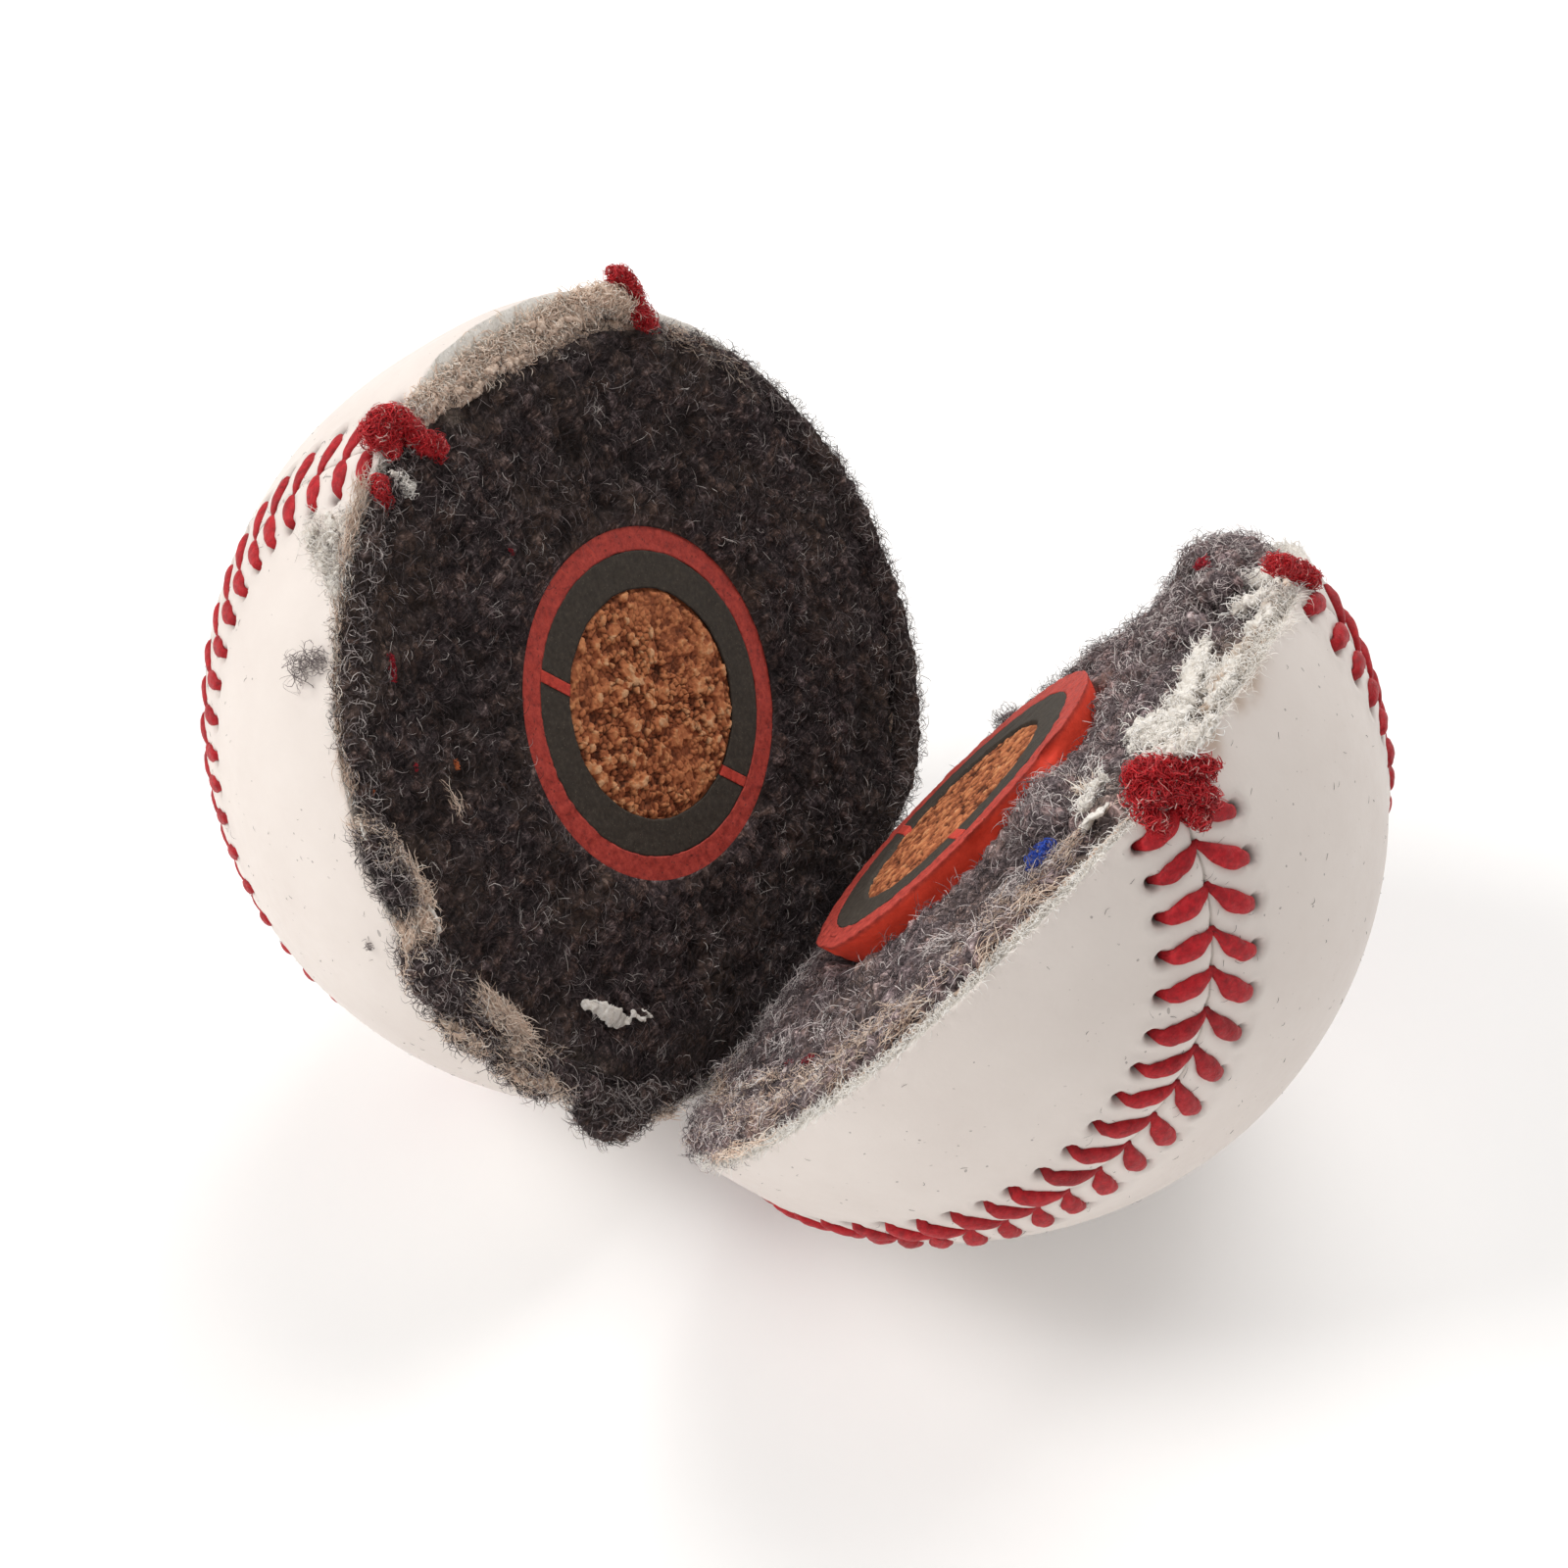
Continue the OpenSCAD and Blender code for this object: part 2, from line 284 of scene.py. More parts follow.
def tubes(paths, radii, sides=3, flatten=None, up=None, tones=None, twist=None, lobes=0.0, slim=False):
    """Closed tubes, all with as many points. paths (m, k, 3), radii (m, k).
    Each ends in a point, so no cap is open. up (m, 3) turns the cross-section,
    and flatten (m,) squeezes it along up. A slim tube is a hair: its first and
    last points are its tips."""
    m, k, _ = paths.shape
    t = np.empty_like(paths)
    t[:, 1:-1] = paths[:, 2:] - paths[:, :-2]
    t[:, 0] = paths[:, 1] - paths[:, 0]
    t[:, -1] = paths[:, -1] - paths[:, -2]
    t = unit(t)
    if up is None:
        u = np.cross(t[:, 0], np.array([0.31, 0.17, 0.93]))
    else:
        u = np.asarray(up, float)
    us = []
    for j in range(k):
        u = unit(u - np.sum(u * t[:, j], -1, keepdims=True) * t[:, j])
        us.append(u)
    us = np.stack(us, 1)
    ws = np.cross(t, us)
    a = np.arange(sides) * 2 * np.pi / sides
    ca, sa = np.cos(a), np.sin(a)
    rr = radii[:, :, None] * np.ones(sides)
    if lobes:
        rr = rr * (1 + lobes * np.abs(np.cos(a[None, None, :] - twist[:, :, None])) - lobes * 0.6)
    fl = 1.0 if flatten is None else np.asarray(flatten)[:, None, None, None]
    ring = paths[:, :, None, :] + rr[..., None] * (
        us[:, :, None, :] * ca[None, None, :, None] * fl + ws[:, :, None, :] * sa[None, None, :, None]
    )
    tips = np.stack(
        [paths[:, 0] - t[:, 0] * radii[:, :1] * 0.6, paths[:, -1] + t[:, -1] * radii[:, -1:] * 0.6], 1
    )
    if slim:
        ring, tips, k = ring[:, 1:-1], paths[:, [0, -1]], k - 2
    verts = np.concatenate([ring.reshape(m, k * sides, 3), tips], 1).reshape(-1, 3)
    per = k * sides + 2
    base = (np.arange(m) * per)[:, None]
    i = np.arange(k - 1)[:, None] * sides
    s0, s1 = np.arange(sides)[None, :], (np.arange(sides) + 1)[None, :] % sides
    quad = np.stack([i + s0, i + s1, i + sides + s1, i + sides + s0], -1).reshape(-1, 4)
    quads = (base[:, :, None] + quad[None]).reshape(-1, 4)
    s0, s1 = s0[0], s1[0]
    tri = np.concatenate(
        [
            np.stack([s1, s0, np.full(sides, k * sides)], -1),
            np.stack([(k - 1) * sides + s0, (k - 1) * sides + s1, np.full(sides, k * sides + 1)], -1),
        ]
    )
    tris = (base[:, :, None] + tri[None]).reshape(-1, 3)
    if tones is None:
        tones = np.zeros(m)
    return verts, [tris, quads], {"tone": np.repeat(tones, per)}


def grid_faces(rows, cols, closed):
    """Quads of a grid of points. closed joins the last column to the first."""
    i = np.arange(rows - 1)[:, None] * cols
    j = np.arange(cols if closed else cols - 1)[None, :]
    j1 = (j + 1) % cols
    return np.stack([i + j, i + j1, i + cols + j1, i + cols + j], -1).reshape(-1, 4)


# ---------------------------------------------------------------- materials


class Mat:
    """A node material with short names for what the materials here share."""

    def __init__(self, name, **inputs):
        self.m = bpy.data.materials.new(name)
        self.m.use_nodes = True
        self.t = self.m.node_tree
        self.n, self.l = self.t.nodes, self.t.links
        self.p = self.n["Principled BSDF"]
        for k, v in inputs.items():
            self.p.inputs[k.replace("_", " ")].default_value = v
        self.coord = self.n.new("ShaderNodeTexCoord").outputs["Object"]

    def scaled(self, sx=1.0, sy=1.0, sz=1.0, turn=(0, 0, 0)):
        m = self.n.new("ShaderNodeMapping")
        m.inputs["Scale"].default_value = (sx, sy, sz)
        m.inputs["Rotation"].default_value = turn
        self.l.new(self.coord, m.inputs["Vector"])
        return m.outputs["Vector"]

    def noise(self, per_mm, detail=3.0, rough=0.55, distort=0.0, vec=None, colour=False):
        t = self.n.new("ShaderNodeTexNoise")
        t.inputs["Scale"].default_value = per_mm * 1000
        t.inputs["Detail"].default_value = detail
        t.inputs["Roughness"].default_value = rough
        t.inputs["Distortion"].default_value = distort
        self.l.new(vec if vec is not None else self.coord, t.inputs["Vector"])
        return t.outputs["Color" if colour else "Fac"]

    def voronoi(self, per_mm, feature="F1", vec=None, out="Distance", jitter=1.0):
        t = self.n.new("ShaderNodeTexVoronoi")
        t.feature = feature
        t.inputs["Scale"].default_value = per_mm * 1000
        t.inputs["Randomness"].default_value = jitter
        self.l.new(vec if vec is not None else self.coord, t.inputs["Vector"])
        return t.outputs[out]

    def warp(self, vec, per_mm, by_mm):
        """vec pushed about by noise."""
        n = self.noise(per_mm, 2.0, vec=vec, colour=True)
        c = self.n.new("ShaderNodeVectorMath")
        c.operation = "SUBTRACT"
        self.l.new(n, c.inputs[0])
        c.inputs[1].default_value = (0.5, 0.5, 0.5)
        s = self.n.new("ShaderNodeVectorMath")
        s.operation = "SCALE"
        self.l.new(c.outputs[0], s.inputs[0])
        s.inputs["Scale"].default_value = by_mm * 0.001 * 2
        a = self.n.new("ShaderNodeVectorMath")
        a.operation = "ADD"
        self.l.new(vec, a.inputs[0])
        self.l.new(s.outputs[0], a.inputs[1])
        return a.outputs[0]

    def value(self, name):
        a = self.n.new("ShaderNodeAttribute")
        a.attribute_name = name
        return a.outputs["Fac"]

    def ramp(self, fac, stops, mode="LINEAR"):
        r = self.n.new("ShaderNodeValToRGB")
        r.color_ramp.interpolation = mode
        e = r.color_ramp.elements
        while len(e) < len(stops):
            e.new(0.5)
        for k, (pos, col) in enumerate(stops):
            e[k].position = pos
            e[k].color = (*col, 1) if not isinstance(col, float) else (col, col, col, 1)
        self.l.new(fac, r.inputs["Fac"])
        return r.outputs["Color"]

    def map(self, v, a, b, lo, hi):
        n = self.n.new("ShaderNodeMapRange")
        n.inputs["From Min"].default_value = a
        n.inputs["From Max"].default_value = b
        n.inputs["To Min"].default_value = lo
        n.inputs["To Max"].default_value = hi
        self.l.new(v, n.inputs["Value"])
        return n.outputs["Result"]

    def math(self, op, a, b=0.0):
        n = self.n.new("ShaderNodeMath")
        n.operation = op
        for k, v in enumerate((a, b)):
            if isinstance(v, (int, float)):
                n.inputs[k].default_value = v
            else:
                self.l.new(v, n.inputs[k])
        return n.outputs[0]

    def mix(self, fac, a, b, how="MIX"):
        n = self.n.new("ShaderNodeMix")
        n.data_type = "RGBA"
        n.blend_type = how
        for k, v in ((0, fac), (6, a), (7, b)):
            if isinstance(v, (int, float)):
                n.inputs[k].default_value = v
            elif isinstance(v, tuple):
                n.inputs[k].default_value = (*v, 1)
            else:
                self.l.new(v, n.inputs[k])
        return n.outputs[2]

    def bump(self, height, strength, mm, after=None):
        b = self.n.new("ShaderNodeBump")
        b.inputs["Strength"].default_value = strength
        b.inputs["Distance"].default_value = mm * 0.001
        self.l.new(height, b.inputs["Height"])
        if after is not None:
            self.l.new(after, b.inputs["Normal"])
        return b.outputs["Normal"]

    def out(self, colour=None, rough=None, normal=None):
        for key, v in (("Base Color", colour), ("Roughness", rough), ("Normal", normal)):
            if v is not None:
                self.l.new(v, self.p.inputs[key])
        return self.m


def leather_material():
    m = Mat("leather_smooth", Roughness=0.5, Specular_IOR_Level=0.45)
    mottle = m.noise(0.06, 4.0, 0.6)
    col = m.ramp(mottle, [(0.3, (0.715, 0.640, 0.592)), (0.7, (0.782, 0.712, 0.664))])
    # small dark specks and short hairs
    v = m.warp(m.scaled(1, 1, 1), 0.5, 0.35)
    d = m.voronoi(0.62, vec=v)
    rnd = m.voronoi(0.62, vec=v, out="Color")
    chosen = m.math("GREATER_THAN", rnd, 0.50)
    speck = m.math("MULTIPLY", m.math("LESS_THAN", d, 0.07), chosen)
    v3 = m.warp(m.scaled(0.4, 1, 1, (0.9, 0.1, 0.3)), 0.6, 0.35)
    tiny = m.math("MULTIPLY", m.math("LESS_THAN", m.voronoi(1.3, vec=v3), 0.085), m.math("GREATER_THAN", m.voronoi(1.3, vec=v3, out="Color"), 0.55))
    col = m.mix(m.math("MULTIPLY", tiny, 0.30), col, (0.22, 0.18, 0.16))
    v2 = m.warp(m.scaled(1, 1, 0.35, (0.5, 0.2, 0.9)), 0.4, 0.5)
    d2 = m.voronoi(0.33, vec=v2)
    rnd2 = m.voronoi(0.33, vec=v2, out="Color")
    speck2 = m.math("MULTIPLY", m.math("LESS_THAN", d2, 0.05), m.math("GREATER_THAN", rnd2, 0.6))
    col = m.mix(m.math("MULTIPLY", speck, 0.55), col, (0.16, 0.13, 0.12))
    col = m.mix(m.math("MULTIPLY", speck2, 0.5), col, (0.12, 0.10, 0.09))
    # painted shade in the stitch holes, round them, down the seam and beside the thread; real stains near the cut
    col = m.mix(m.map(m.value("painted_shade"), 0.0, 1.0, 0.0, 0.92), col, (0.045, 0.03, 0.028))
    col = m.mix(m.map(m.value("stain"), 0.0, 1.0, 0.0, 0.85), col, (0.36, 0.22, 0.12))
    rough = m.map(m.noise(0.9, 3.0), 0.3, 0.7, 0.44, 0.62)
    grain = m.voronoi(2.6, "SMOOTH_F1", vec=m.warp(m.coord, 1.5, 0.2))
    n = m.bump(grain, 0.10, 0.12)
    n = m.bump(m.noise(0.7, 5.0, 0.6), 0.25, 0.12, n)
    return m.out(col, rough, n)


def leather_edge_material():
    m = Mat("leather_cut", Roughness=0.9, Specular_IOR_Level=0.2)
    v = m.scaled(1, 1, 1)
    f = m.noise(2.4, 4.0, 0.7, 0.8, vec=v)
    col = m.ramp(f, [(0.22, (0.52, 0.45, 0.38)), (0.42, (0.80, 0.75, 0.68)), (0.7, (0.93, 0.90, 0.86))])
    col = m.mix(m.map(m.value("stain"), 0.0, 1.0, 0.0, 0.85), col, (0.36, 0.21, 0.11))
    return m.out(col, None, m.bump(f, 0.8, 0.3))


def thread_material():
    m = Mat("thread_red", Roughness=0.55, Specular_IOR_Level=0.3)
    f = m.noise(1.3, 4.0, 0.6, 0.5)
    col = m.ramp(f, [(0.25, (0.26, 0.003, 0.008)), (0.5, (0.45, 0.007, 0.014)), (0.8, (0.62, 0.022, 0.030))])
    ply = m.noise(3.2, 2.0, 0.5, vec=m.warp(m.scaled(1, 0.35, 1, (0.6, 0.3, 0.8)), 0.4, 0.6))
    col = m.mix(m.map(ply, 0.50, 0.34, 0.0, 0.30), col, (0.085, 0.002, 0.005))
    col = m.mix(m.map(m.value("tone"), 0.0, 1.0, 0.0, 0.75), col, (0.06, 0.003, 0.006))
    rough = m.map(m.noise(3.0, 2.0), 0.3, 0.7, 0.45, 0.65)
    return m.out(col, rough, m.bump(m.noise(5.0, 3.0, 0.6, 1.0), 0.6, 0.14))


def red_fuzz_material():
    m = Mat("thread_fuzz", Roughness=0.42, Specular_IOR_Level=0.5)
    # the palest stop is a painted glint on the brightest hairs
    col = m.ramp(
        m.value("tone"),
        [(0.0, (0.24, 0.002, 0.008)), (0.4, (0.58, 0.006, 0.014)), (0.88, (0.82, 0.022, 0.032)), (0.95, (0.95, 0.62, 0.56))],
    )
    col = m.mix(0.25, col, m.ramp(m.noise(2.0, 3.0), [(0.3, 0.0), (0.7, 0.6)]), "MULTIPLY")
    return m.out(col)


def wool_material(name, dark, mid, light, brown, warm):
    m = Mat(name, Roughness=0.95, Specular_IOR_Level=0.1)
    # tangled fine fibres: long thin noise, warped
    a = m.noise(2.6, 3.0, 0.65, vec=m.warp(m.scaled(1, 0.20, 1, (0.4, 0.2, 0.7)), 0.5, 1.6))
    b = m.noise(2.6, 3.0, 0.65, vec=m.warp(m.scaled(0.22, 1, 1, (0.1, 0.9, -0.5)), 0.5, 1.6))
    f = m.math("MAXIMUM", a, b)
    col = m.ramp(f, [(0.42, dark), (0.58, mid), (0.74, light)])
    tint = m.ramp(m.value("shade"), [(0.0, (0.62, 0.60, 0.62)), (0.45, (1.0, 0.98, 1.0)), (0.75, warm), (1.0, (1.45, 1.40, 1.42))])
    col = m.mix(1.0, col, tint, "MULTIPLY")
    patch = m.noise(0.12, 3.0, 0.6)
    col = m.mix(m.map(patch, 0.46, 0.66, 0.0, 0.5), col, brown)
    # painted shade: darker in the felt's creases and low hollows, and over the core's socket
    col = m.mix(m.map(m.value("pit"), 0.0, 1.0, 0.0, 0.82), col, (0.012, 0.010, 0.010))
    col = m.mix(m.map(m.value("pale"), 0.0, 1.0, 0.0, 1.0), col, m.ramp(f, [(0.4, (0.13, 0.10, 0.08)), (0.7, (0.46, 0.38, 0.31))]))
    return m.out(col, None, m.bump(f, 0.7, 0.35))


def fibre_material(name, stops):
    m = Mat(name, Roughness=0.85, Specular_IOR_Level=0.2)
    col = m.ramp(m.value("tone"), stops)
    col = m.mix(0.25, col, m.ramp(m.noise(0.5, 3.0), [(0.3, 0.45), (0.7, 1.0)]), "MULTIPLY")
    return m.out(col)


def yarn_material():
    m = Mat("finishing_yarn_cream", Roughness=0.95, Specular_IOR_Level=0.12)
    f = m.noise(2.0, 4.0, 0.7, 0.6)
    col = m.ramp(f, [(0.3, (0.38, 0.26, 0.19)), (0.5, (0.78, 0.60, 0.48)), (0.72, (0.95, 0.81, 0.69))])
    pink = m.noise(0.9, 2.0)
    col = m.mix(m.map(pink, 0.55, 0.75, 0.0, 0.35), col, (0.60, 0.36, 0.30))
    # olive: a dull olive darkening in patches where the band meets the leather, on some crumbs, and as painted shade in
    # the clumps' creases
    col = m.mix(m.map(m.value("olive"), 0.0, 1.0, 0.0, 0.8), col, (0.17, 0.145, 0.085))
    return m.out(col, None, m.bump(f, 0.8, 0.3))


def red_rubber_material():
    m = Mat("rubber_red", Roughness=0.72, Specular_IOR_Level=0.35)
    f = m.noise(1.6, 5.0, 0.75)
    face = m.ramp(f, [(0.3, (0.20, 0.026, 0.020)), (0.46, (0.43, 0.046, 0.034)), (0.66, (0.58, 0.078, 0.054))])
    wall = m.ramp(f, [(0.3, (0.80, 0.050, 0.022)), (0.7, (0.97, 0.078, 0.036))])
    speck = m.math("LESS_THAN", m.voronoi(1.5, vec=m.warp(m.coord, 1.0, 0.3)), 0.16)
    face = m.mix(m.math("MULTIPLY", speck, 0.6), face, (0.06, 0.022, 0.018))
    col = m.mix(m.value("wall"), face, wall)
    return m.out(col, m.map(f, 0.3, 0.7, 0.6, 0.85), m.bump(f, 0.5, 0.18))


def black_rubber_material():
    m = Mat("rubber_black", Roughness=0.8, Specular_IOR_Level=0.3)
    f = m.noise(2.2, 5.0, 0.75)
    col = m.ramp(f, [(0.3, (0.028, 0.023, 0.018)), (0.55, (0.056, 0.046, 0.036)), (0.75, (0.094, 0.079, 0.061))])
    speck = m.math("LESS_THAN", m.voronoi(2.3), 0.13)
    col = m.mix(m.math("MULTIPLY", speck, 0.4), col, (0.20, 0.17, 0.13))
    return m.out(col, m.map(f, 0.3, 0.7, 0.7, 0.9), m.bump(f, 0.4, 0.12))


def cork_material():
    m = Mat("cork", Roughness=0.85, Specular_IOR_Level=0.25)
    col = m.ramp(
        m.value("grain"),
        [(0.0, (0.075, 0.020, 0.008)), (0.25, (0.34, 0.098, 0.040)), (0.55, (0.62, 0.21, 0.085)), (0.8, (0.76, 0.31, 0.13)), (1.0, (0.90, 0.52, 0.28))],
    )
    f = m.noise(3.5, 4.0, 0.7)
    col = m.mix(m.map(f, 0.3, 0.7, 0.36, 0.0), col, (0.07, 0.022, 0.008))
    # painted shade in the crevices between the granules
    col = m.mix(m.map(m.value("crack"), 0.0, 1.0, 0.0, 0.8), col, (0.020, 0.008, 0.004))
    return m.out(col, m.map(f, 0.3, 0.7, 0.7, 0.95), m.bump(f, 0.6, 0.15))


LEATHER_M = leather_material()
EDGE_M = leather_edge_material()
THREAD_M = thread_material()
FUZZ_M = red_fuzz_material()
WOOL_L = wool_material("wool_charcoal", (0.021, 0.016, 0.016), (0.102, 0.077, 0.078), (0.37, 0.305, 0.295), (0.125, 0.085, 0.062), (1.30, 1.10, 0.95))
WOOL_R = wool_material("wool_mauve_grey", (0.055, 0.042, 0.043), (0.29, 0.232, 0.238), (0.80, 0.70, 0.69), (0.36, 0.25, 0.20), (1.25, 1.05, 0.98))
FIBRE_L = fibre_material(
    "wool_fibres_charcoal",
    [(0.0, (0.018, 0.015, 0.015)), (0.4, (0.118, 0.094, 0.096)), (0.75, (0.38, 0.325, 0.32)), (1.0, (0.80, 0.73, 0.69))],
)
FIBRE_R = fibre_material(
    "wool_fibres_mauve",
    [(0.0, (0.030, 0.024, 0.026)), (0.4, (0.32, 0.255, 0.262)), (0.75, (0.80, 0.70, 0.68)), (1.0, (0.97, 0.93, 0.90))],
)
FIBRE_CREAM = fibre_material(
    "fibres_cream",
    [(0.0, (0.30, 0.19, 0.135)), (0.35, (0.76, 0.56, 0.44)), (0.8, (0.96, 0.80, 0.67)), (1.0, (0.98, 0.92, 0.84))],
)
FIBRE_WHITE = fibre_material(
    "fibres_white",
    [(0.0, (0.74, 0.66, 0.58)), (0.4, (0.92, 0.87, 0.80)), (1.0, (0.98, 0.96, 0.93))],
)
YARN_M = yarn_material()
RED_M = red_rubber_material()
BLACK_M = black_rubber_material()
CORK_M = cork_material()
BLUE_FIBRE = fibre_material("fibres_blue", [(0.0, (0.02, 0.04, 0.30)), (1.0, (0.06, 0.14, 0.62))])
RED_FIBRE = fibre_material("fibres_red", [(0.0, (0.22, 0.008, 0.02)), (1.0, (0.50, 0.03, 0.045))])
ORANGE_FIBRE = fibre_material("fibres_orange", [(0.0, (0.32, 0.06, 0.02)), (1.0, (0.62, 0.19, 0.07))])

# ---------------------------------------------------------------- seam


def seam_curve(half, step=0.3):
    """Points along the seam at even steps, with the way along and across it."""
    q = direction(*np.array(half.seam_path, float).T)
    fine = []
    for i in range(1, len(q) - 2):
        t = np.linspace(0, 1, 60, endpoint=False)[:, None]
        a, b, c, d = q[i - 1], q[i], q[i + 1], q[i + 2]
        fine.append(unit(0.5 * (2 * b + (c - a) * t + (2 * a - 5 * b + 4 * c - d) * t**2 + (3 * b - a - 3 * c + d) * t**3)))
    fine = np.concatenate(fine)
    s = np.concatenate([[0], np.cumsum(np.linalg.norm(np.diff(fine, axis=0), axis=1) * R)])
    u = np.arange(0, s[-1], step)
    p = unit(np.stack([np.interp(u, s, fine[:, k]) for k in range(3)], 1))
    # the stitched line runs a little beside that path in places
    shift = np.interp(u, *half.seam_shift)[:, None] / R
    for _ in range(2):
        t = np.gradient(p, axis=0)
        t = unit(t - np.sum(t * p, 1, keepdims=True) * p)
        if _ == 0:
            p = unit(p * np.cos(shift) + np.cross(p, t) * np.sin(shift))
    return u, p, t, np.cross(p, t)


LEFT.seam_shift = ([0, 45, 80, 400], [1.15, 1.0, 0.0, 0.0])
RIGHT.seam_shift = ([0, 110, 165, 182, 192, 204, 400], [0.0, 0.0, 0.9, 0.65, 0.4, 0.0, 0.0])
for h in (LEFT, RIGHT):
    h.u, h.sp, h.st, h.sn = seam_curve(h)


def on_seam(half, u, s, height=0.0):
    """Points in the half's frame at u along the seam, s across it, and height
    over the leather."""
    c = np.stack([np.interp(u, half.u, half.sp[:, k]) for k in range(3)], -1)
    n = np.stack([np.interp(u, half.u, half.sn[:, k]) for k in range(3)], -1)
    c, n = unit(c), unit(n)
    a = np.asarray(s)[..., None] / R
    v = unit(c * np.cos(a) + n * np.sin(a))
    return v * (R + np.asarray(height))[..., None] + half.c


def leg_bend(t):
    """How a stitch leg runs back along the seam as it runs out from it."""
    return np.sin(np.clip(t, 0, 1) * np.pi / 2) ** 0.9


def rim_el(half, az):
    """Where the leather ends, as an angle: at the saw cut, or where the fold
    takes over from it."""
    az = np.asarray(az, float)
    p = np.stack([np.cos(np.radians(az)) * 36.6, np.sin(np.radians(az)) * 36.6, 0 * az], -1)
    if half is LEFT:
        ragged = 0.22 * fbm(p, 5.0, 4, 11) + 0.12 * fbm(p, 1.1, 3, 12)
        # the leather is torn and chewed along the lower left
        ragged = ragged - 0.9 * smooth(fbm(p, 3.2, 3, 13), 0.05, 0.6) * around(az, -100, 55)
        cut = np.minimum(ragged, 0.25) - 0.05
    else:
        ragged = 0.20 * fbm(p, 5.0, 4, 21) + 0.14 * fbm(p, 1.0, 3, 22)
        ragged = ragged - 1.1 * smooth(fbm(p, 3.0, 3, 23), 0.0, 0.6) * around(az, 178, 26)
        cut = np.minimum(ragged, 0.25) - 0.05
    el = np.degrees(np.arcsin((half.cz - cut) / R))
    # the bevel at the fold: deeper along the ball until x - CUT_DEPTH = depth * tan
    lo, hi = np.full_like(az, -8.2), np.full_like(az, 40.0)
    lo = np.full_like(az, math.degrees(math.asin(half.cz / R)))

    def past(e):
        v = direction(az, e) * R + half.c
        return v[..., 0] - CUT_DEPTH + v[..., 2] * math.tan(rad(BEVEL))

    inside = past(lo) > 0
    for _ in range(40):
        mid = (lo + hi) / 2
        out = past(mid) > 0
        lo = np.where(out, mid, lo)
        hi = np.where(out, hi, mid)
    return np.where(inside, np.maximum(el, hi), el)


# ---------------------------------------------------------------- leather


def flat_map(v):
    return v[:, :2] / (1 - v[:, 2:3])


def un_map(q):
    s = np.sum(q * q, 1)
    return np.stack([2 * q[:, 0] / (s + 1), 2 * q[:, 1] / (s + 1), (s - 1) / (s + 1)], 1)


def seam_place(half, v):
    """(u, s) on the seam of unit vectors v, s being the distance across it."""
    u = np.empty(len(v))
    s = np.empty(len(v))
    for i in range(0, len(v), 4000):
        w = v[i : i + 4000]
        d = w @ half.sp.T
        k = d.argmax(1)
        c, t, n = half.sp[k], half.st[k], half.sn[k]
        u[i : i + 4000] = half.u[k] + np.sum(w * t, 1) * R
        s[i : i + 4000] = np.arctan2(np.sum(w * n, 1), np.sum(w * c, 1)) * R
    return u, s


def stitch_places(half):
    """Where along the seam each stitch sits, for those clear of the saw."""
    if half is LEFT:
        at = 0.27 + 3.15 * np.arange(0, 13)
        at = np.concatenate([at, np.arange(at[-1] + PITCH, half.u[-1] - 1, PITCH)])
    else:
        at = np.arange(199.80 - 58 * 3.37, half.u[-1] - 1, 3.37)
    p = on_seam(half, at, 0 * at)
    return at[p[:, 2] < -0.5]


# how far a leg leans back along the seam, on each side of it (mm, by place)
LEFT.leans = {-1: ([0, 400], [1.75, 1.9]), 1: ([0, 24, 36, 60, 400], [0.1, 0.2, -0.4, 1.2, 1.9])}
RIGHT.leans = {-1: ([0, 170, 184, 200, 400], [1.9, 1.7, 2.3, 2.7, 2.6]), 1: ([0, 176, 190, 198, 400], [1.9, 2.1, 2.5, 1.35, 1.7])}
for h in (LEFT, RIGHT):
    h.stitches = stitch_places(h)
    h.way = -1.0


def leg_points(half, at, side, t):
    """(u, s) along one leg: t = 0 at the seam, 1 at its hole. It leaves the
    seam steeply and flattens out, as a bird's wing."""
    ln = np.interp(at, *half.leans[side])
    s = side * REACH * t
    u = at + half.way * ln * np.sin(np.clip(t, 0, 1) * np.pi / 2) ** 0.85
    return u, s


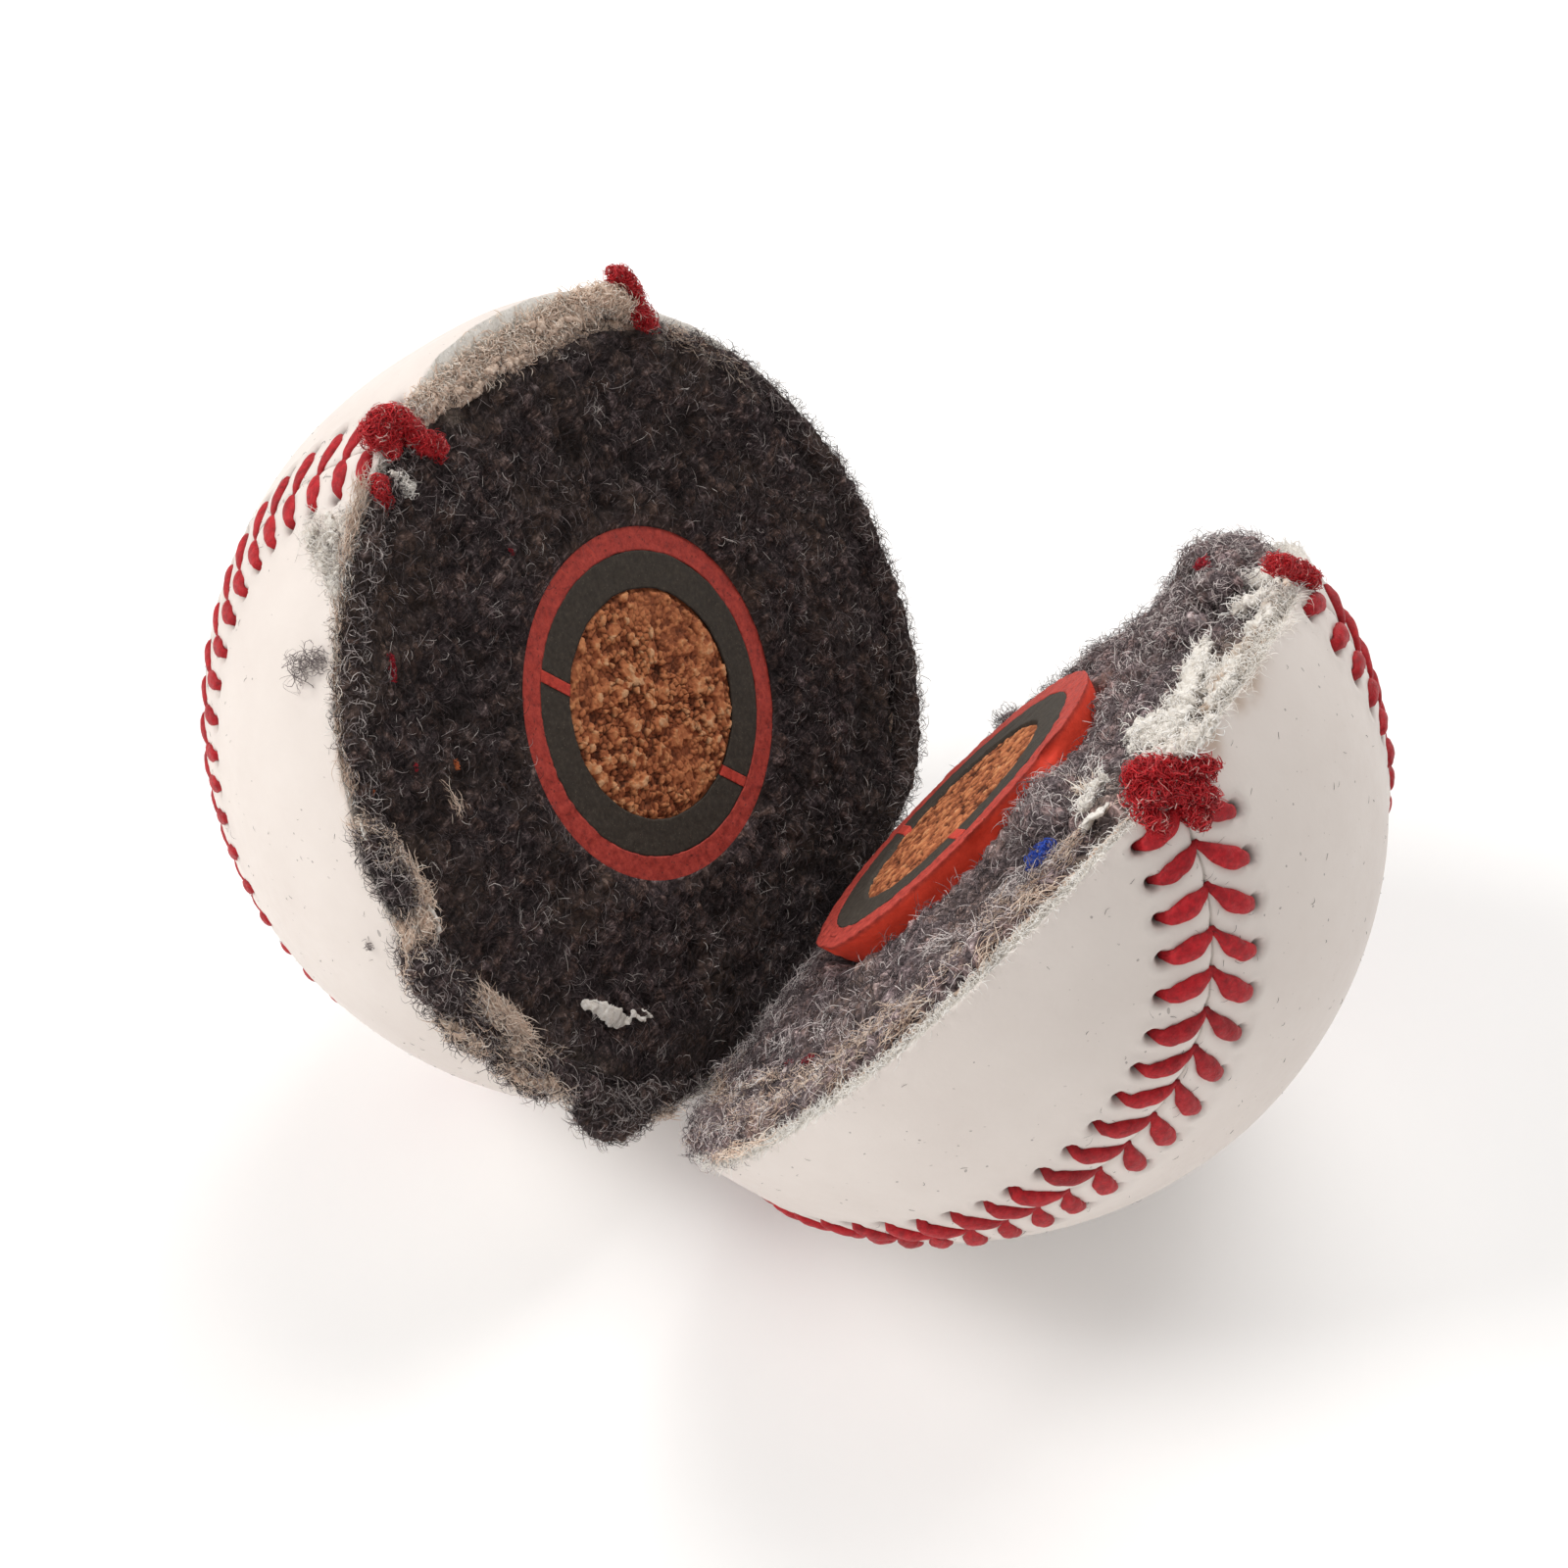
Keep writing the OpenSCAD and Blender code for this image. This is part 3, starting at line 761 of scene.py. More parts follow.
def leather_heights(half, v, u, s):
    """How far each point stands over the ball, and how much painted shade it gets in and round the stitch holes, down
    the seam and beside the thread.
    """
    p = v * R
    out = 0.05 * fbm(p, 9.0, 3, 5) + 0.018 * fbm(p, 1.6, 3, 6)
    a = np.abs(s)
    near = a < 7.0
    painted_shade = np.zeros(len(v))
    # the leather swells along the seam and dips right at it
    out += 0.20 * np.exp(-((a / 3.6) ** 2)) - 0.34 * np.exp(-((a / 0.26) ** 2))
    # painted shade down the seam's gap
    painted_shade = np.maximum(painted_shade, 0.30 * np.exp(-((a / 0.10) ** 2)))
    idx = np.where(near)[0]
    uu, ss = u[idx], s[idx]
    best = np.full(len(idx), 99.0)
    hole = np.full(len(idx), 99.0)
    tt = np.linspace(0, 1, 11)
    for side in (-1, 1):
        mine = np.where(np.sign(ss) == side)[0]
        if not len(mine):
            continue
        for at in half.stitches:
            j = mine[np.abs(uu[mine] - at) < 6.5]
            if not len(j):
                continue
            lu, ls = leg_points(half, at, side, tt)
            d = np.hypot(uu[j][:, None] - lu, ss[j][:, None] - ls).min(1)
            best[j] = np.minimum(best[j], d)
            d = np.hypot(uu[j] - lu[-1] + half.way * -0.05, ss[j] - ls[-1] - 0.10 * side)
            hole[j] = np.minimum(hole[j], d)
    dip = -0.20 * np.exp(-((best / 0.7) ** 2)) + 0.06 * np.exp(-(((best - 1.35) / 0.55) ** 2))
    pit = -1.0 * np.exp(-((hole / 0.52) ** 2)) + 0.09 * np.exp(-(((hole - 1.0) / 0.4) ** 2))
    away = np.hypot(hole, 0)
    wrinkle = 0.05 * noise(np.stack([uu * 1.0, ss * 0.35, 0 * uu], 1), 0.5, 31) * np.exp(-(((away - 0.9) / 0.7) ** 2))
    out[idx] += dip + pit + wrinkle
    # painted shade in the stitch holes, a fainter painted shade round them, and along each leg of thread
    painted_shade[idx] = np.maximum(painted_shade[idx], np.exp(-((hole / 0.62) ** 4)) * (0.95 + 0.2 * noise(p[idx], 0.6, 8)))
    painted_shade[idx] = np.maximum(painted_shade[idx], 0.16 * np.exp(-((hole / 1.2) ** 2)) * (1 + 0.5 * noise(p[idx], 0.8, 9)))
    painted_shade[idx] = np.maximum(painted_shade[idx], 0.10 * np.exp(-((best / 0.85) ** 2)))
    return out, np.clip(painted_shade, 0, 1)


def leather(half):
    # points: a fine band along the seam, rows along the rim, an even fill
    rows = np.array([0.045, 0.16, 0.34, 0.6, 0.9, 1.2, 1.55, 1.9, 2.25, 2.6, 2.95, 3.25, 3.5, 3.75, 4.0,
                     4.22, 4.44, 4.68, 4.95, 5.3, 5.75, 6.3])
    sides = np.concatenate([-rows[::-1], rows])
    uu = np.arange(0, half.u[-1], 0.3)
    U, S = np.meshgrid(uu, sides, indexing="ij")
    band = unit(on_seam(half, U.ravel(), S.ravel()) - half.c)
    az = np.degrees(np.arctan2(band[:, 1], band[:, 0]))
    el = -np.degrees(np.arcsin(band[:, 2]))
    deg = math.degrees(1 / R)
    keep = el > rim_el(half, az) + 0.16 * deg
    # where two stretches of the band meet, each keeps its own side
    bu, bs = seam_place(half, band)
    keep &= np.abs(np.abs(bs) - np.abs(S.ravel())) < 0.12
    band_kept = band[keep]
    raz = np.linspace(-180, 180, 720, endpoint=False)
    rims = [direction(raz + (k % 2) * 0.25, rim_el(half, raz + (k % 2) * 0.25) + d * deg)
            for k, d in enumerate((0.0, 0.3, 0.65, 1.1, 1.7))]
    rim = rims[0]
    inner_rims = np.concatenate(rims[1:])
    n = int(4 * math.pi * R * R / 0.85)
    i = np.arange(n) + 0.5
    z = 1 - 2 * i / n
    th = i * math.pi * (1 + 5**0.5)
    fill = np.stack([np.sqrt(1 - z * z) * np.cos(th), np.sqrt(1 - z * z) * np.sin(th), z], 1)
    faz = np.degrees(np.arctan2(fill[:, 1], fill[:, 0]))
    fel = -np.degrees(np.arcsin(fill[:, 2]))
    fill = fill[fel > rim_el(half, faz) + 2.3 * deg]

    def off_band(v, by):
        _, s = seam_place(half, v)
        return v[np.abs(s) > by]

    fill = off_band(fill, 6.75)
    inner_rims = off_band(inner_rims, 6.45)
    pts = np.concatenate([rim, band_kept, inner_rims, fill])
    flat = flat_map(pts)
    # the seam's two edges are kept as lines: rows at -0.045 and 0.045
    order = np.full(len(band), -1)
    order[keep] = np.arange(keep.sum()) + len(rim)
    order = order.reshape(len(uu), len(sides))
    lines = []
    mid = len(rows)
    for col in (mid - 1, mid):
        ids = order[:, col]
        for a, b in zip(ids[:-1], ids[1:]):
            if a >= 0 and b >= 0:
                lines.append((int(a), int(b)))
    nr = len(rim)
    lines += [(k, (k + 1) % nr) for k in range(nr)]
    vo, _, fo, origin, _, _ = delaunay_2d_cdt([Vector(p) for p in flat.tolist()], lines, [list(range(nr))], 1, 1e-9, True)
    q = np.array([[p.x, p.y] for p in vo])
    v = un_map(q)
    tri = np.array([f for f in fo if len(f) == 3], np.int64)
    u, s = seam_place(half, v)
    # drop what lies in the seam's gap, and part the two panels
    cen = unit(v[tri].mean(1))
    cu, cs = seam_place(half, cen)
    vel = -np.degrees(np.arcsin(cen[:, 2]))
    gapf = np.abs(cs) < 0.04
    tri, cs, cen = tri[~gapf], cs[~gapf], cen[~gapf]
    # panel A is the side of the half's pole
    pole_side = np.sign(seam_place(half, unit(np.array([[0.02, 0.0, -1.0]])))[1][0])
    hgt, painted_shade = leather_heights(half, v, u, s)
    az = np.degrees(np.arctan2(v[:, 1], v[:, 0]))
    el = -np.degrees(np.arcsin(v[:, 2]))
    to_rim = (el - rim_el(half, az)) / deg
    if half is LEFT:
        hgt = hgt + 1.25 * np.exp(-((to_rim / 7.0) ** 2)) * smooth(around(az, 171, 32), 0.0, 0.7)
    # the cut edge curls a little and is stained in places
    hgt = hgt + 0.16 * np.exp(-((to_rim / 0.8) ** 2)) * fbm(v * R, 2.5, 3, 41)
    # pressed flat where it rests
    down = half.axes.T @ np.array([0, 0, -1.0])
    stand = (v * (R + hgt)[:, None]) @ down
    over = np.maximum(stand - (R - FLAT), 0)
    if half is LEFT:
        stain = 0.55 * np.exp(-((to_rim / 0.5) ** 2)) * smooth(fbm(v * R, 4.0, 3, 43), -0.1, 0.5) * around(az, -110, 60)
    else:
        stain = np.exp(-((to_rim / 1.0) ** 2)) * smooth(fbm(v * R, 3.0, 3, 44), -0.35, 0.3) * around(az, 172, 14)
    made = []
    for side, name in ((pole_side, "a"), (-pole_side, "b")):
        t = tri[np.sign(cs) == side]
        used, t = np.unique(t, return_inverse=True)
        t = t.reshape(-1, 3)
        # make every triangle face outwards
        w = v[used]
        nrm = np.cross(w[t[:, 1]] - w[t[:, 0]], w[t[:, 2]] - w[t[:, 0]])
        flip = np.sum(nrm * w[t[:, 0]], 1) < 0
        t[flip] = t[flip][:, ::-1]
        top = w * (R + hgt[used] - over[used])[:, None]
        top = top - np.outer(np.maximum(top @ down - (R - FLAT), 0), down)
        thick = LEATHER - 0.02
        low = w * (R - thick)
        m = len(used)
        # the border: directed edges that no other triangle has the other way
        e = np.concatenate([t[:, [0, 1]], t[:, [1, 2]], t[:, [2, 0]]])
        key = e[:, 0] * m + e[:, 1]
        back = e[:, 1] * m + e[:, 0]
        b = e[~np.isin(key, back)]
        # walls have a middle row, which is rough
        mid_v = w * (R - thick * 0.5)[..., None] if False else w * (R - thick * 0.5)
        bid = np.unique(b)
        at = np.full(m, -1)
        at[bid] = np.arange(len(bid)) + 2 * m
        wob = 0.10 * noise(mid_v[bid], 0.5, 51)[:, None] * np.array([[0, 0, 1.0]])
        walls = np.concatenate([
            np.stack([b[:, 1], b[:, 0], at[b[:, 0]], at[b[:, 1]]], 1),
            np.stack([at[b[:, 1]], at[b[:, 0]], b[:, 0] + m, b[:, 1] + m], 1),
        ])
        verts = np.concatenate([top, low, mid_v[bid] + wob]) + half.c
        faces = [np.concatenate([t, t[:, ::-1] + m]), walls]
        slots = np.concatenate([np.zeros(len(t)), np.ones(len(t)), np.ones(len(walls))])
        g = np.concatenate([painted_shade[used], np.zeros(m), 0.2 * painted_shade[used][bid]])
        st = np.concatenate([stain[used], stain[used], stain[used][bid]])
        ob = build(f"{half.name}_leather_panel_{name}", verts, faces, half, [LEATHER_M, EDGE_M], slots, True, {"painted_shade": g, "stain": st})
        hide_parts(f"{half.name}_cover_panel_{name}")
        made.append(ob)
    return made


# ---------------------------------------------------------------- stitches


def stitching(half, rng):
    k = 24
    t = np.linspace(0, 1, k)
    paths, radii, ups, tw, tones = [], [], [], [], []
    for at in half.stitches:
        for side in (-1, 1):
            j = rng.normal(0, 1, 6)
            u, s = leg_points(half, at + 0.07 * j[1], side, t)
            s = s * (1 + 0.02 * j[0])
            u = u + 0.10 * j[2] * t * (1 - t) * 4
            h = (0.05 if half is LEFT else 0.17) + 0.08 * np.sin(np.pi * t) - 0.30 * (1 - smooth(t, 0, 0.16)) - 1.1 * smooth(t, 0.86, 1.0)
            p = on_seam(half, u, s, h)
            if half is LEFT:
                r = 0.79 * (0.46 + 0.54 * smooth(t, -0.06, 0.40)) * (1 - 0.50 * smooth(t, 0.60, 1.0)) * (1 + 0.05 * j[3])
            else:
                r = 0.84 * (0.30 + 0.70 * smooth(t, -0.06, 0.44)) * (1 - 0.46 * smooth(t, 0.60, 1.0)) * (1 + 0.05 * j[3])
            if p[:, 2].max() > -0.10:
                continue
            paths.append(p)
            radii.append(r)
            ups.append(unit(p[0] - half.c))
            tw.append(t * 7.0 + j[4])
            tones.append(np.clip(0.10 + 0.12 * j[5], 0, 0.5))
    paths, radii = np.array(paths), np.array(radii)
    v, f, val = tubes(paths, radii, 14, np.full(len(paths), 0.52 if half is LEFT else 0.60), np.array(ups), np.array(tones), np.array(tw), 0.13)
    # painted shade where the thread dives into its hole and where it comes up out of the seam
    ring_t = np.concatenate([np.repeat(t, 14), [0.0, 1.0]])
    val["tone"] = np.clip(val["tone"] + np.tile(0.9 * smooth(ring_t, 0.92, 1.0) + 0.35 * (1 - smooth(ring_t, 0.0, 0.10)), len(paths)), 0, 1)
    ob = build(f"{half.name}_red_stitches", v, f, half, [THREAD_M], None, True, val)
    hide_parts(f"{half.name}_stitching")
    return ob


# ---------------------------------------------------------------- wool


def felt(p, seed, size=1.25):
    """Felted wool: rounded lumps with creases between them (0 to 1), and how
    deep in a crease a point is."""
    q = p + 0.55 * np.stack([fbm(p, 1.6, 2, seed + 1), fbm(p, 1.6, 2, seed + 2), fbm(p, 1.6, 2, seed + 3)], 1)
    d1, d2, pick = cells(q, size, seed + 4)
    e1, e2, _ = cells(q + 3.3, size * 0.52, seed + 6)
    lump = (1 - np.clip(d1, 0, 1) ** 2) * (0.6 + 0.8 * pick) + 0.35 * (1 - np.clip(e1, 0, 1) ** 2)
    crease = (1 - smooth(d2 - d1, 0.02, 0.28)) * 0.8 + (1 - smooth(e2 - e1, 0.02, 0.25)) * 0.4
    return lump, np.clip(crease, 0, 1), pick


def wool_height(half, x, y):
    """The felted face's height over the saw cut, how deep its creases are, and
    each lump's shade."""
    p = np.stack([x, y, 0 * x], -1)
    r = np.hypot(x, y)
    az = np.degrees(np.arctan2(y, x))
    left = half is LEFT
    big = fbm(p, 9.0, 2, 61 if left else 71)
    mid = fbm(p, 3.0, 2, 62 if left else 72)
    lump, crease, pick = felt(p, 65 if left else 75)
    fine = fbm(p, 0.5, 2, 63 if left else 73)
    if left:
        z = -0.20 + 0.50 * big + 0.55 * mid + 0.62 * lump + 0.14 * fine
        z = z + 0.5 * around(az, 95, 75) * smooth(r, 25, 33)
        z = z + 0.8 * around(az, -50, 22) * smooth(r, 29, 33)
        z = z * smooth(r, 16.2, 18.0) + 0.10
        z = z - 1.3 * smooth(r, 33.8, 35.6)
    else:
        # the wool swells round the standing core and is torn up at the far rim
        z = 0.75 + 1.5 * (1 - smooth(r, 17, 34)) + 0.6 * big + 0.65 * mid + 0.62 * lump + 0.15 * fine
        z = z + 1.8 * around(az, -124, 24) * smooth(r, 20, 29) * (0.75 + 0.6 * fbm(p, 5.0, 2, 74))
        z = z + 0.8 * around(az, 160, 30) * smooth(r, 20, 28)
        z = z - 1.6 * smooth(r, 33.4, 35.8) - 0.5 * smooth(r, 30, 34)
    # low at the fold, so the halves can close
    z = z * (0.25 + 0.75 * smooth(CUT_DEPTH - x, 0.5, 7.0))
    room = (0.11 if left else 0.20) * (CUT_DEPTH - x) + 0.05
    z = np.where(z > room, room + 0.15 * (z - room), z)
    # pit: the creases and low places, which the wool material darkens as painted shade
    pit = np.clip(0.75 * crease + 0.5 * smooth(-(0.6 * mid + 0.6 * big), 0.05, 0.5), 0, 1)
    return z, pit, pick


def wool_edge(half, az):
    """The wool's ragged outer radius on the face."""
    p = np.stack([np.cos(np.radians(az)) * 35, np.sin(np.radians(az)) * 35, 0 * az], -1)
    if half is LEFT:
        r = 34.6 + 0.5 * fbm(p, 4.0, 3, 81)
        r = r - 1.5 * around(az, 172, 26) - 0.9 * around(az, 158, 16)
        r = r + 1.1 * around(az, -95, 40) * (0.6 + fbm(p, 2.4, 2, 82)) + 0.9 * around(az, 60, 75)
    else:
        r = 34.9 + 0.5 * fbm(p, 3.5, 3, 83)
        r = r - 1.0 * around(az, 172, 12)
    return np.minimum(r, 36.2)


def wool_layer(half, node, r_in, r_out, cols, step, material, core_z=None):
    """One winding layer as a closed body: its felted face, then the round
    outside down to the pole, and the round inside back up."""
    az = np.linspace(-180, 180, cols, endpoint=False)
    ca, sa = np.cos(np.radians(az)), np.sin(np.radians(az))
    outer_edge = wool_edge(half, az) if r_out is None else np.full(cols, r_out)
    ball_r = R_WOOL if r_out is None else None
    n = int(round((float(np.mean(outer_edge)) - r_in) / step))
    rows, pits, pales, shades = [], [], [], []
    for k in range(n + 1):
        t = k / n
        r = r_in + (outer_edge - r_in) * t
        x, y = r * ca, r * sa
        z, pit, pick = wool_height(half, x, y)
        rows.append(trim_fold(half, np.stack([x, y, z], 1)))
        shades.append(pick)
        pits.append(pit)
        pale = pale_at(half, x, y)
        pales.append(pale)
    # outside, going down: for the outer layer the ball under the yarn, else
    # the sphere between the two windings
    c = half.cz
    big = ball_r if ball_r is not None else math.sqrt(r_out**2 + c * c)
    e0 = math.degrees(math.asin((c + 1.6) / big)) if ball_r is not None else None
    if ball_r is not None:
        els = np.linspace(e0, 86, 26)
    else:
        e0 = math.degrees(math.asin((c + 1.2) / big))
        els = np.linspace(e0, 86, 22)
    for e in els:
        v = direction(az, np.full(cols, e)) * big + half.c
        if ball_r is not None:
            v = trim_fold(half, v)
        rows.append(v)
        pits.append(np.full(cols, 0.4))
        pales.append(np.zeros(cols))
    n_down = len(rows)
    cz = c if core_z is None else core_z
    small = math.sqrt(r_in**2 + (cz - (0 if core_z is None else 0)) ** 2) if r_out is None else None
    if r_out is None:
        small = math.sqrt((r_in) ** 2 + c * c)
        e1 = math.degrees(math.asin((c + 1.2) / small))
        ins = direction
        els = np.linspace(86, e1, 20)
        for e in els:
            rows.append(direction(az, np.full(cols, e)) * small + half.c)
            pits.append(np.full(cols, 0.4))
            pales.append(np.zeros(cols))
    else:
        # the socket of the core
        z0 = -1.0
        small = R_COVER + 0.03
        e1 = math.degrees(math.asin((cz - z0) / small))
        els = np.linspace(86, e1, 20)
        for e in els:
            v = direction(az, np.full(cols, e)) * small + np.array([0, 0, cz])
            rows.append(v)
            # painted shade over the core's socket
            pits.append(np.full(cols, 0.8))
            pales.append(np.zeros(cols))
    rows = np.array(rows)
    verts = rows.reshape(-1, 3)
    total = len(rows)
    faces = grid_faces(total, cols, True)
    close = np.stack([(total - 1) * cols + np.arange(cols), (total - 1) * cols + (np.arange(cols) + 1) % cols,
                      (np.arange(cols) + 1) % cols, np.arange(cols)], 1)
    faces = np.concatenate([faces, close])
    ob = build(f"{half.name}_{node}_felt", verts, [faces[:, ::-1]], half, [material], None, True,
               {"pit": np.concatenate(pits), "pale": np.concatenate(pales),
                "shade": np.concatenate(shades + [np.full(len(verts) - (n + 1) * cols, 0.4)])})
    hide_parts(f"{half.name}_{node}")
    return ob


def trim_fold(half, v):
    """Pulls points that lie past the fold's bevel back onto it."""
    d = (v[:, 0] - CUT_DEPTH) * math.cos(rad(BEVEL)) + v[:, 2] * math.sin(rad(BEVEL)) + 0.25
    d = np.maximum(d, 0)[:, None]
    return v - d * np.array([math.cos(rad(BEVEL)), 0, math.sin(rad(BEVEL))])


def pale_at(half, x, y):
    """Where pale yarn shows through the wool, near the rim."""
    r = np.hypot(x, y)
    az = np.degrees(np.arctan2(y, x))
    p = np.stack([x, y, 0 * x], -1)
    f = fbm(p, 2.2, 3, 91 if half is LEFT else 92)
    if half is LEFT:
        band = 0.35 * around(az, -112, 30) * smooth(r, 31.5, 34.0) + 0.5 * around(az, -68, 26) * smooth(r, 32.0, 34.0)
        band = band + 0.8 * around(az, 174, 26) * smooth(r, 31.9, 33.2) + 0.5 * around(az, 135, 26) * smooth(r, 31.5, 33.5)
        band = band + 0.15 * smooth(r, 33.4, 34.8)
        return np.clip(band * smooth(f, -0.25, 0.45), 0, 1)
    band = 0.85 * smooth(r, 29.0, 34.0)
    return np.clip(band * smooth(f, -0.4, 0.4), 0, 1)


def fibres(points, normals, rng, length, radius, curl, lift, segs=6, tone=None, along=None, sides=3):
    """Short curly hairs that start in a surface at points and lie over it."""
    m = len(points)
    n = unit(normals)
    a = rng.normal(size=(m, 3)) if along is None else along + 0.6 * rng.normal(size=(m, 3))
    t = unit(a - np.sum(a * n, 1, keepdims=True) * n)
    side = np.cross(n, t)
    L = length * (0.5 + rng.random(m) * 1.0)
    bend = curl * rng.normal(size=m)
    wave = rng.random(m) * 6.28
    s = np.linspace(0, 1, segs + 1)
    path = np.empty((m, segs + 1, 3))
    ang = bend[:, None] * s[None] + 0.5 * np.sin(wave[:, None] + 4 * s[None]) * curl * 0.5
    step = L[:, None] / segs
    dx = np.cumsum(np.cos(ang) * step, 1) - np.cos(ang[:, :1]) * step
    dy = np.cumsum(np.sin(ang) * step, 1) - np.sin(ang[:, :1]) * step
    up = lift * (0.3 + rng.random(m)[:, None] * 1.2) * np.sin(np.pi * (0.06 + 0.94 * s[None]) * (0.55 + 0.45 * rng.random(m)[:, None])) - 0.12
    path = points[:, None, :] + t[:, None, :] * dx[..., None] + side[:, None, :] * dy[..., None] + n[:, None, :] * up[..., None]
    r = radius * (0.7 + 0.6 * rng.random(m))[:, None] * (1 - 0.75 * s[None] ** 3)
    if tone is None:
        tone = np.clip(rng.beta(1.3, 2.2, m), 0, 1)
    return tubes(path, r, sides, tones=tone, slim=True)


def on_face(half, rng, count, r0, r1, az0=-180, az1=180):
    """Random points on the felted face with the way it faces."""
    r = np.sqrt(rng.random(count) * (r1**2 - r0**2) + r0**2)
    az = np.radians(az0 + rng.random(count) * (az1 - az0))
    x, y = r * np.cos(az), r * np.sin(az)
    z = wool_height(half, x, y)[0]
    e = 0.15
    zx = (wool_height(half, x + e, y)[0] - z) / e
    zy = (wool_height(half, x, y + e)[0] - z) / e
    n = unit(np.stack([-zx, -zy, np.ones(count)], 1))
    ok = x < CUT_DEPTH - 1.2
    return np.stack([x, y, z], 1)[ok], n[ok]


# ---------------------------------------------------------------- core


def lathe(profile, cols, warp=None):
    """A closed turned shape from (r, z) points, going round once."""
    az = np.linspace(0, 2 * np.pi, cols, endpoint=False)
    prof = np.asarray(profile, float)
    v = np.stack([prof[:, None, 0] * np.cos(az), prof[:, None, 0] * np.sin(az), prof[:, None, 1] + 0 * az], -1)
    if warp is not None:
        v = warp(v)
    rows = len(prof)
    f = grid_faces(rows, cols, True)
    close = np.stack([(rows - 1) * cols + np.arange(cols), (rows - 1) * cols + (np.arange(cols) + 1) % cols,
                      (np.arange(cols) + 1) % cols, np.arange(cols)], 1)
    return v.reshape(-1, 3), np.concatenate([f, close])


def arc(radius, z_c, z_from, z_to, n):
    """Points (r, z) on a circle of that radius about (0, z_c), between heights."""
    a0, a1 = math.asin(np.clip((z_from - z_c) / radius, -1, 1)), math.asin(np.clip((z_to - z_c) / radius, -1, 1))
    a = np.linspace(a0, a1, n)
    return np.stack([radius * np.cos(a), z_c + radius * np.sin(a)], 1)


def slice_shell(ob, keep):
    """Cuts a closed piece with planes ((point, normal) in the piece's frame),
    keeping what lies behind each, and closes the cuts."""
    import bmesh

    bm = bmesh.new()
    bm.from_mesh(ob.data)
    for co, no in keep:
        r = bmesh.ops.bisect_plane(bm, geom=bm.verts[:] + bm.edges[:] + bm.faces[:], dist=1e-9,
                                   plane_co=co, plane_no=no, clear_outer=True)
        edges = [e for e in r["geom_cut"] if isinstance(e, bmesh.types.BMEdge) and e.is_boundary]
        if edges:
            bmesh.ops.triangle_fill(bm, use_beauty=True, use_dissolve=False, edges=edges)
    bmesh.ops.recalc_face_normals(bm, faces=bm.faces[:])
    bm.to_mesh(ob.data)
    bm.free()
    ob.data.update()


